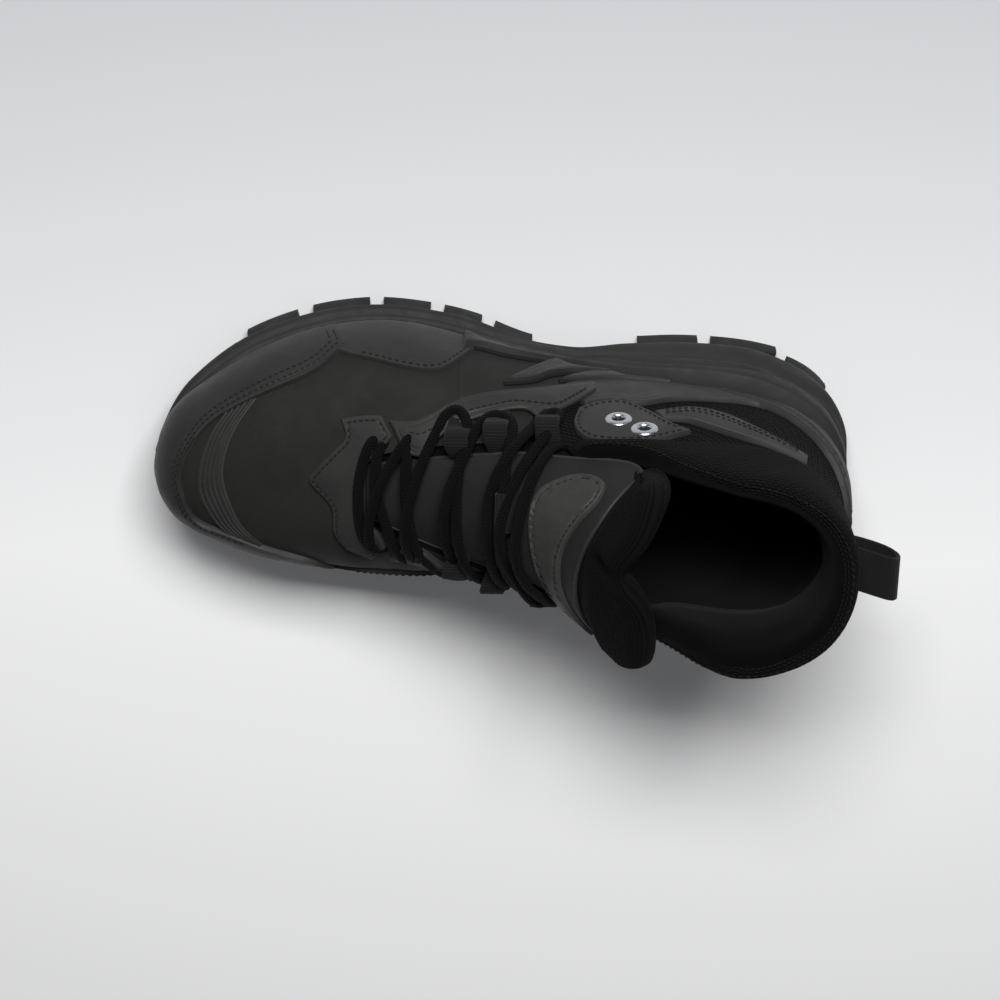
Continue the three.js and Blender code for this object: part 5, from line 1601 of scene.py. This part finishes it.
def build_tongue():
    us = np.linspace(-1, 1, 81)
    low_ts = np.linspace(5.6, 10.4, 64)
    rows = []
    halves = []
    for t in low_ts:
        half = tongue_row(t)[0, 1]
        places = np.column_stack([np.full(len(us), t), np.linspace(share_of(t, -half), share_of(t, half), len(us))])
        base, normal = surface(places)
        thick = tongue_row(t)[0, 2]
        rows.append(base + normal * (tongue_face(places) - thick / 2)[:, None])
        halves.append(thick / 2)
    spots = even(near_line(TONGUE_LEATHER_EDGE[6:16], False), len(us))
    base, normal = surface(spots)
    edge = base + normal * (tongue_face(spots) - 3.0)[:, None]
    place = np.interp(us, PAD_RIM[:, 0], np.arange(len(PAD_RIM)))
    rim = catmull(PAD_RIM, place)[:, 1:]
    rim = edge + (rim - edge) * (1 - 0.62 * smoothstep(0.78, 1.0, np.abs(us)) ** 1.6)[:, None]
    knots = [rows[-10], rows[-1], edge, rim, rim + (rim - edge) * 0.7]
    for start, count in ((1, 12), (2, 44)):
        p0, p1, p2, p3 = knots[start - 1:start + 3]
        for f in np.linspace(0, 1, count + 1)[1:]:
            rows.append(0.5 * (2 * p1 + (p2 - p0) * f + (2 * p0 - 5 * p1 + 4 * p2 - p3) * f ** 2
                               + (3 * p1 - p0 - 3 * p2 + p3) * f ** 3))
            swell = smoothstep(0, 1, f) if start == 1 else 1.0
            halves.append(halves[len(low_ts) - 1] * (1 - swell) + 3.0 * swell)
    middle = np.array(rows)
    for _ in range(8):
        middle[50:-1] = 0.6 * middle[50:-1] + 0.2 * (middle[49:-2] + middle[51:])
        middle[50:, 1:-1] = 0.6 * middle[50:, 1:-1] + 0.2 * (middle[50:, :-2] + middle[50:, 2:])
    across = np.gradient(middle, axis=1)
    ahead = np.gradient(middle, axis=0)
    up = np.cross(across, ahead)
    up /= np.linalg.norm(up, axis=2, keepdims=True)
    _, outward = surface([[8.0, 0.5]])
    if np.dot(up[32, 40], outward[0]) < 0:
        up = -up
    long, wide = middle.shape[:2]
    pad = np.clip((np.arange(long) - (long - 45)) / 44, 0, 1)[:, None]
    crease = np.exp(-((us - 0.1) / 0.08) ** 2)[None, :]
    side = np.sqrt(np.maximum(0.02, 1 - np.abs(us) ** 10))[None, :]
    close = np.sqrt(np.maximum(0.004, 1 - np.clip((pad - 0.7) / 0.3, 0, 1) ** 2))
    lobe = 4.6 * smoothstep(0.0, 0.34, pad) * (1 - 0.95 * crease * smoothstep(0.1, 0.6, pad))
    folds = 0.35 * np.sin(us * 9 + 1)[None, :] * smoothstep(0.1, 0.5, pad)
    half = np.array(halves)[:, None]
    front = middle + up * ((half + lobe + folds) * side * close)[:, :, None]
    back = middle - up * ((half + lobe * 0.35) * side * close)[:, :, None]
    reach = np.concatenate([[0], np.cumsum(np.linalg.norm(np.diff(middle[:, 40], axis=0), axis=1))])
    span = np.linalg.norm(np.diff(middle, axis=1), axis=2).sum(1)
    uv = np.stack([us[None, :] * span[:, None] / 2, np.repeat(reach[:, None], wide, 1)], 2).reshape(-1, 2)
    points = np.concatenate([front.reshape(-1, 3), back.reshape(-1, 3)])
    base = wide * long
    faces = []
    for r in range(long - 1):
        for k in range(wide - 1):
            a = r * wide + k
            faces.append((a, a + 1, a + wide + 1, a + wide))
            faces.append((base + a, base + a + wide, base + a + wide + 1, base + a + 1))
    for r in range(long - 1):
        for k in (0, wide - 1):
            a = r * wide + k
            f = (a, a + wide, base + a + wide, base + a)
            faces.append(f if k == 0 else f[::-1])
    for k in range(wide - 1):
        for r in (0, long - 1):
            a = r * wide + k
            f = (a, base + a, base + a + 1, a + 1)
            faces.append(f if r == 0 else f[::-1])
    if np.dot(np.cross(across[32, 40], ahead[32, 40]), outward[0]) < 0:
        faces = [f[::-1] for f in faces]
    piece = make_object("tongue_pad", points, faces, np.concatenate([uv, uv]), sharp=0)
    dress(piece, FINE_KNIT, "knit", "tongue")


# Leather face of the tongue and the patch on it: points near the face
TONGUE_LEATHER_EDGE = [
    (214, -14, 72, 1), (190, -22, 84, 0), (165, -29, 92, 0), (140, -33, 98, 0), (122, -36, 106, 0),
    (107, -38, 112, 0), (98, -38, 118, 0), (96, -36, 125, 0), (103, -31, 132, 0), (112, -21, 138, 0),
    (119, -10, 139, 0), (122, 3, 136, 0), (121, 16, 131, 0), (117, 26, 125, 0), (110, 33, 119, 0),
    (103, 37, 113, 1), (111, 38, 107, 0), (122, 34, 104, 0), (140, 29, 98, 0), (165, 22, 92, 0), (190, 12, 84, 0),
    (214, 2, 72, 1),
]
PATCH_EDGE = [
    (135, -25, 114, 0), (124, -31, 115, 0), (115, -33, 119, 0), (110, -31.5, 126, 0), (113, -26, 132, 0),
    (121, -17, 133, 0), (126.5, -4, 131, 0), (126.5, 8, 128, 0), (122.5, 20, 123, 0), (115.5, 29, 118, 0),
    (109.5, 34.5, 113.5, 1), (118, 35, 109.5, 0), (128, 27, 111, 0), (134, 16, 117, 0), (138, 5, 120, 0), (140, -8, 119, 0), (139, -18, 116, 0),
]


def build_tongue_face():
    places = near_line(TONGUE_LEATHER_EDGE)

    def face(spots, base, distance):
        swell = 0.7 * np.sin(spots[:, 0] * 2.1) * smoothstep(0, 8, distance)
        return tongue_face(spots) + 0.2 + 0.9 * rounded(distance, 1.0) + 0.5 * smoothstep(0, 14, distance) + 0.3 * swell

    piece = sheet("tongue_leather", places, face, skirt=-WALL - 3.5, step=2.6)
    dress(piece, TONGUE_LEATHER, "leather")
    rim, up = surface(spaced(places, 1.2))
    spots = spaced(places, 1.2)
    lift = tongue_face(spots) + 0.6
    path = rim + up * lift[:, None]
    points, faces, uv = tube(path, 0.75, 8, up, closed=True)
    dress(make_object("tongue_piping", points, faces, uv, np.full(len(points), 1.0), sharp=0),
          PANEL_LEATHER, "smooth_leather")
    patch = near_line(PATCH_EDGE)

    def raised(spots, base, distance):
        border = 0.5 * np.exp(-((distance - 1.0) / 0.6) ** 2) - 0.45 * np.exp(-((distance - 2.4) / 0.5) ** 2)
        border += 0.4 * np.exp(-((distance - 3.6) / 0.6) ** 2)
        return tongue_face(spots) + 1.4 + 1.2 * rounded(distance, 0.6) + border

    piece = sheet("tongue_badge", patch, raised, skirt=-WALL - 2.0, step=1.8)
    dress(piece, PATCH_LEATHER, "leather", "tongue_patch")
    thread = Threads()
    line, keep = inset_line(patch, 2.4)
    thread.line(line, (tongue_face(line) + 2.5)[:, None], keep=keep, pitch=2.6, long=1.9, radius=0.26)
    dress(thread.object("tongue_stitches"), THREAD, "webbing")


# Apron before the throat, with its two ears
APRON = [
    (216, -35, 1), (207, -37, 0), (199, -38, 1), (194, -31, 1), (201, -22.5, 0), (206, -17, 0), (208.5, -6, 0),
    (206, 6, 0), (201, 11, 0), (197, 18, 1), (203, 26, 1), (214, 22, 1), (219, 14, 0), (220, 2, 0),
    (229, -8, 0), (226, -14, 0), (219, -22, 0), (214, -28, 0),
]


def build_apron():
    places = top_line(APRON)
    piece = panel("apron_panel", places, thick=1.6, lift=GAP + 0.2, puff=0.4, step=1.8)
    dress(piece, PANEL_LEATHER, "smooth_leather", "apron")
    threads.seam(places, 1.9, GAP + 2.2, pitch=2.6)


# Lace: runs over the tongue. The last number lifts the lace off the form.
LACE_RUNS = [
    [(199, -29, 77, -2.5), (203, -28, 77, 2.2), (207, -15, 77, 2.4), (208, 0, 77, 2.4), (206, 14, 76, 2.2),
     (201, 19, 76, 2.2), (197, 21, 76, -2.5)],
    [(197, -31, 79, -2.5), (200, -25, 79, 2.2), (201, -10, 81, 3.0), (196, 8, 82, 2.4), (190, 22, 79, 2.2),
     (186, 27, 78, -2.5)],
    [(185, -37, 80, -2.5), (188, -31, 82, 2.3), (193, -23, 82, 2.6), (198, -10, 81, 6.2), (203, 6, 79, 4.2),
     (203, 18, 76, 2.2), (200, 22, 76, -2.5)],
    [(190, -34, 80, -2.5), (188, -27, 83, 2.4), (188, -6, 87, 3.4), (183, 14, 84, 3.2), (176, 26, 80, 2.2),
     (173, 31, 79, 2.4), (169, 33, 80, 2.6), (165, 31, 84, 2.4), (167, 22, 90, 2.6), (171, 8, 93, 3.0),
     (169, -11, 95, 6.0), (164, -27, 92, 3.0), (158, -38, 85, 2.6), (152, -42, 84, 2.8), (146, -40, 88, 2.6),
     (147, -31, 100, 3.2), (148, -19, 108, 2.6), (148, -6, 111, 2.8), (146, 12, 109, 3.2), (141, 26, 103, 2.8),
     (137, 35, 96, 2.6), (132, 37, 96, 2.8), (128, 35, 101, 2.8), (133, 22, 112, 3.4), (140, 2, 118, 6.4),
     (139, -18, 115, 3.6), (132, -34, 104, 2.6), (127, -40, 97, -3.0)],
    [(183, 28, 78, -2.5), (186, 20, 81, 2.4), (187, 4, 86, 6.0), (182, -19, 86, 3.4), (176, -34, 83, 2.6),
     (173, -41, 81, 2.8), (168, -43, 80, 2.8), (164, -39, 86, 2.6), (166, -24, 94, 3.2), (166, -3, 97, 3.4),
     (162, 15, 95, 4.8), (158, 30, 87, 2.6), (155, 35, 84, 2.8), (151, 36, 84, 2.8), (148, 33, 90, 2.6),
     (151, 18, 102, 3.0), (153, -2, 107, 3.0), (152, -17, 104, 2.8), (145, -32, 101, 6.2), (138, -40, 92, 2.8),
     (132, -43, 84, 2.8), (127, -42, 84, 2.8), (133, -37, 97, 3.0), (143, -23, 108, 3.2), (147, -2, 112, 5.4),
     (142, 17, 110, 3.4), (134, 33, 102, 5.6), (127, 37, 99, -3.0)],
]


def build_laces():
    parts = []
    for run in LACE_RUNS:
        line = curve_through([(*p, 0) for p in run], False, 14)
        spots = np.array([near(p[:3]) for p in line])
        path, up = surface(spots, line[:, 3:4])
        for _ in range(12):
            path[1:-1] = 0.5 * path[1:-1] + 0.25 * (path[:-2] + path[2:])
        reach = np.sum(np.linalg.norm(np.diff(path, axis=0), axis=1))
        count = max(12, int(reach / 1.1))
        both = even(np.column_stack([path, up]), count)
        parts.append(tube(both[:, :3], LACE / 2, 12, both[:, 3:], flatten=0.86))
    points, faces, uv = join(parts)
    piece = make_object("lace", points, faces, uv, sharp=0)
    dress(piece, CORD, "webbing", "laces")


# Webbing loops that hold the lace: place along the throat
LOOPS = (168.5, 152.0, 131.5)
LOOP_PATH = [(-12.0, 0.8), (-8.0, 2.6), (-5.0, 3.4), (-3.0, 6.0), (-0.5, 7.2), (2.5, 6.4), (4.5, 3.2), (5.5, 0.0), (6.0, -3.0)]


def build_loops(label, side):
    number = 1
    for x in LOOPS:
        stations = np.interp(x, [126, 139.5, 156.9, 177, 201], [36.1, 37.1, 34.0, 29.8, 22.5])
        if side > 0:
            stations = np.interp(x, [126, 139.5, 156.9, 177, 201], [34.0, 30.8, 23.5, 17.2, 11.0])
        mouth = near((x, side * (stations + 5), 90))
        anchor, normal = surface([mouth])
        edge = near((x, side * stations, 95))
        lip, _ = surface([edge])
        way = lip[0] - anchor[0]
        way[0] = 0
        way /= np.linalg.norm(way)
        spots = []
        lifts = []
        for along_path, lift in LOOP_PATH:
            spots.append(near(lip[0] - way * 4.5 + way * along_path))
            lifts.append(lift)
        path, up = surface(spots, np.array(lifts)[:, None])
        path = even(path, 40)
        for _ in range(4):
            path[1:-1] = 0.5 * path[1:-1] + 0.25 * (path[:-2] + path[2:])
        across = np.tile([1.0, 0, 0], (40, 1))
        points, faces, uv = ribbon(path, across, 10.0, 1.3)
        piece = make_object(f"loop_{label}_{number}", points, faces, uv, sharp=50)
        dress(piece, WEBBING, "webbing", f"lace_loop_{label}_{number}")
        number += 1


def build_keeper():
    path = []
    for x, lift in ((155, -2.6), (153.5, 0.5), (151, 4.8), (149, 5.6), (147, 4.8), (144.5, 0.5), (143, -2.8)):
        spot, normal = surface([near((x, -12, 112))])
        path.append(spot[0] + normal[0] * lift)
    path = even(np.array(path), 30)
    for _ in range(3):
        path[1:-1] = 0.5 * path[1:-1] + 0.25 * (path[:-2] + path[2:])
    across = np.tile([0.0, 1.0, 0.12], (30, 1))
    points, faces, uv = ribbon(path, across, 17.0, 1.2)
    dress(make_object("keeper_tab", points, faces, uv, sharp=50), WEBBING, "webbing", "lace_keeper")


def ring_at(centre, normal, radius, name, node):
    """Rolled metal ring lying on a surface."""
    normal = normal / np.linalg.norm(normal)
    lead = np.array([1.0, 0, 0])
    a = np.cross(normal, lead)
    a /= np.linalg.norm(a)
    b = np.cross(a, normal)
    profile = [(-1.4, -2.4), (-1.5, -0.3), (-1.25, 0.4), (-0.6, 0.8), (0.3, 0.7), (1.1, 0.35), (1.5, -0.15),
               (1.5, -0.5), (-0.6, -0.5), (-0.9, -2.4)]
    points = []
    faces = []
    sides = 40
    for k in range(sides):
        turn = 2 * math.pi * k / sides
        out = a * math.cos(turn) + b * math.sin(turn)
        for r, h in profile:
            points.append(centre + out * (radius + r) + normal * h)
    n = len(profile)
    for k in range(sides):
        m = (k + 1) % sides
        for j in range(n):
            i = (j + 1) % n
            faces.append((k * n + j, m * n + j, m * n + i, k * n + i))
    piece = make_object(name, points, faces, np.zeros((len(points), 2)), sharp=50)
    dress(piece, NICKEL, "metal", node)


def build_eyelets(label, side):
    for k, (x, z) in enumerate(EYELETS):
        spot, normal = surface([side_on(x, z, side)], EYELET_TOP)
        ring_at(spot[0], normal[0], 4.1, f"ring_{label}_{k + 1}", f"eyelet_{label}_{k + 1}")


def build_pull():
    line = [(12.0, 119.5), (6.0, 117.8), (0.0, 116.9), (-5.0, 117.2), (-8.3, 119.4), (-9.0, 123.0), (-8.0, 126.6),
            (-4.6, 128.4), (1.0, 128.9), (6.0, 129.2), (11.5, 129.8)]
    path = np.array([(x, 1.0 + 0.36 * (12 - x), z) for x, z in line])
    path = even(path, 60)
    for _ in range(4):
        path[1:-1] = 0.5 * path[1:-1] + 0.25 * (path[:-2] + path[2:])
    across = np.tile([0.0, 1.0, 0.0], (60, 1))
    points, faces, uv = ribbon(path, across, 19.0, 1.7)
    dress(make_object("pull_strap", points, faces, uv, sharp=50), WEBBING, "webbing", "pull_loop")


for label, side in SIDES:
    build_side(label, side)
    build_loops(label, side)
    build_eyelets(label, side)
build_toe_cap()
build_ribs()
build_counter()
build_apron()
build_collar()
build_tongue()
build_tongue_face()
build_laces()
build_keeper()
build_pull()
dress(threads.object("stitching"), THREAD, "webbing")

# Camera, floor and light
CAMERA = {"target": (150, 4, 61), "azimuth": 2.0, "elevation": 67.0, "roll": 179.0, "distance": 1100.0}


def build_camera():
    a = math.radians(CAMERA["azimuth"])
    e = math.radians(CAMERA["elevation"])
    r = math.radians(CAMERA["roll"])
    back = Vector((math.sin(a) * math.cos(e), -math.cos(a) * math.cos(e), math.sin(e)))
    right = Vector((math.cos(a), math.sin(a), 0))
    up = back.cross(right)
    right2 = right * math.cos(r) + up * math.sin(r)
    up2 = up * math.cos(r) - right * math.sin(r)
    target = (np.array(CAMERA["target"]) - ORIGIN) / 1000
    lens = bpy.data.cameras.new("camera")
    lens.sensor_width = 36
    lens.lens = 93.96
    camera = bpy.data.objects.new("camera", lens)
    bpy.context.scene.collection.objects.link(camera)
    place = Vector(target) + back * CAMERA["distance"] / 1000
    camera.matrix_world = Matrix((
        (right2.x, up2.x, back.x, place.x),
        (right2.y, up2.y, back.y, place.y),
        (right2.z, up2.z, back.z, place.z),
        (0, 0, 0, 1),
    ))
    bpy.context.scene.camera = camera


def area_light(name, place, target, size, power, color=(1, 1, 1)):
    data = bpy.data.lights.new(name, "AREA")
    data.shape = "RECTANGLE"
    data.size = size[0]
    data.size_y = size[1]
    data.energy = power
    data.color = color
    light = bpy.data.objects.new(name, data)
    bpy.context.scene.collection.objects.link(light)
    light.location = place
    light.rotation_euler = (Vector(target) - Vector(place)).to_track_quat("-Z", "Y").to_euler()
    return light


def build_stage():
    mesh = bpy.data.meshes.new("floor")
    reach = 4.0
    mesh.from_pydata([(-reach, -reach, 0), (reach, -reach, 0), (reach, reach, 0), (-reach, reach, 0)], [], [(0, 1, 2, 3)])
    floor = bpy.data.objects.new("floor", mesh)
    bpy.context.scene.collection.objects.link(floor)
    n = Nodes("floor_paper", (0.8, 0.8, 0.8), 0.85)
    split = n.tree.nodes.new("ShaderNodeSeparateXYZ")
    n.link(n.where(), split.inputs[0])
    # The floor is painted darker towards -y: painted shade of the light falling off there. The noise on top is random
    # tone.
    falloff_shade = n.span(split.outputs["Y"], -0.22, 0.06)
    shaded_paper = n.mix(falloff_shade, (0.41, 0.42, 0.435), (0.8, 0.802, 0.805))
    n.color(n.mix(n.value("MULTIPLY", n.noise(1.5, 2), 0.08), shaded_paper, (0.62, 0.62, 0.62)))
    n.bump(n.noise(400, 2), 0.1, 0.05)
    mesh.materials.append(n.material)
    world = bpy.context.scene.world or bpy.data.worlds.new("world")
    bpy.context.scene.world = world
    world.use_nodes = True
    world.node_tree.nodes["Background"].inputs["Color"].default_value = (0.93, 0.95, 1.0, 1)
    world.node_tree.nodes["Background"].inputs["Strength"].default_value = 0.09
    area_light("key", (0.0, -1.05, 1.4), (0.1, 0.0, 0.05), (0.9, 0.5), 41)
    area_light("top", (-0.1, 0.0, 1.8), (0.1, 0.0, 0.0), (0.9, 0.9), 2)


build_footbed()
build_camera()
build_stage()
bpy.context.scene.view_settings.view_transform = "Standard"
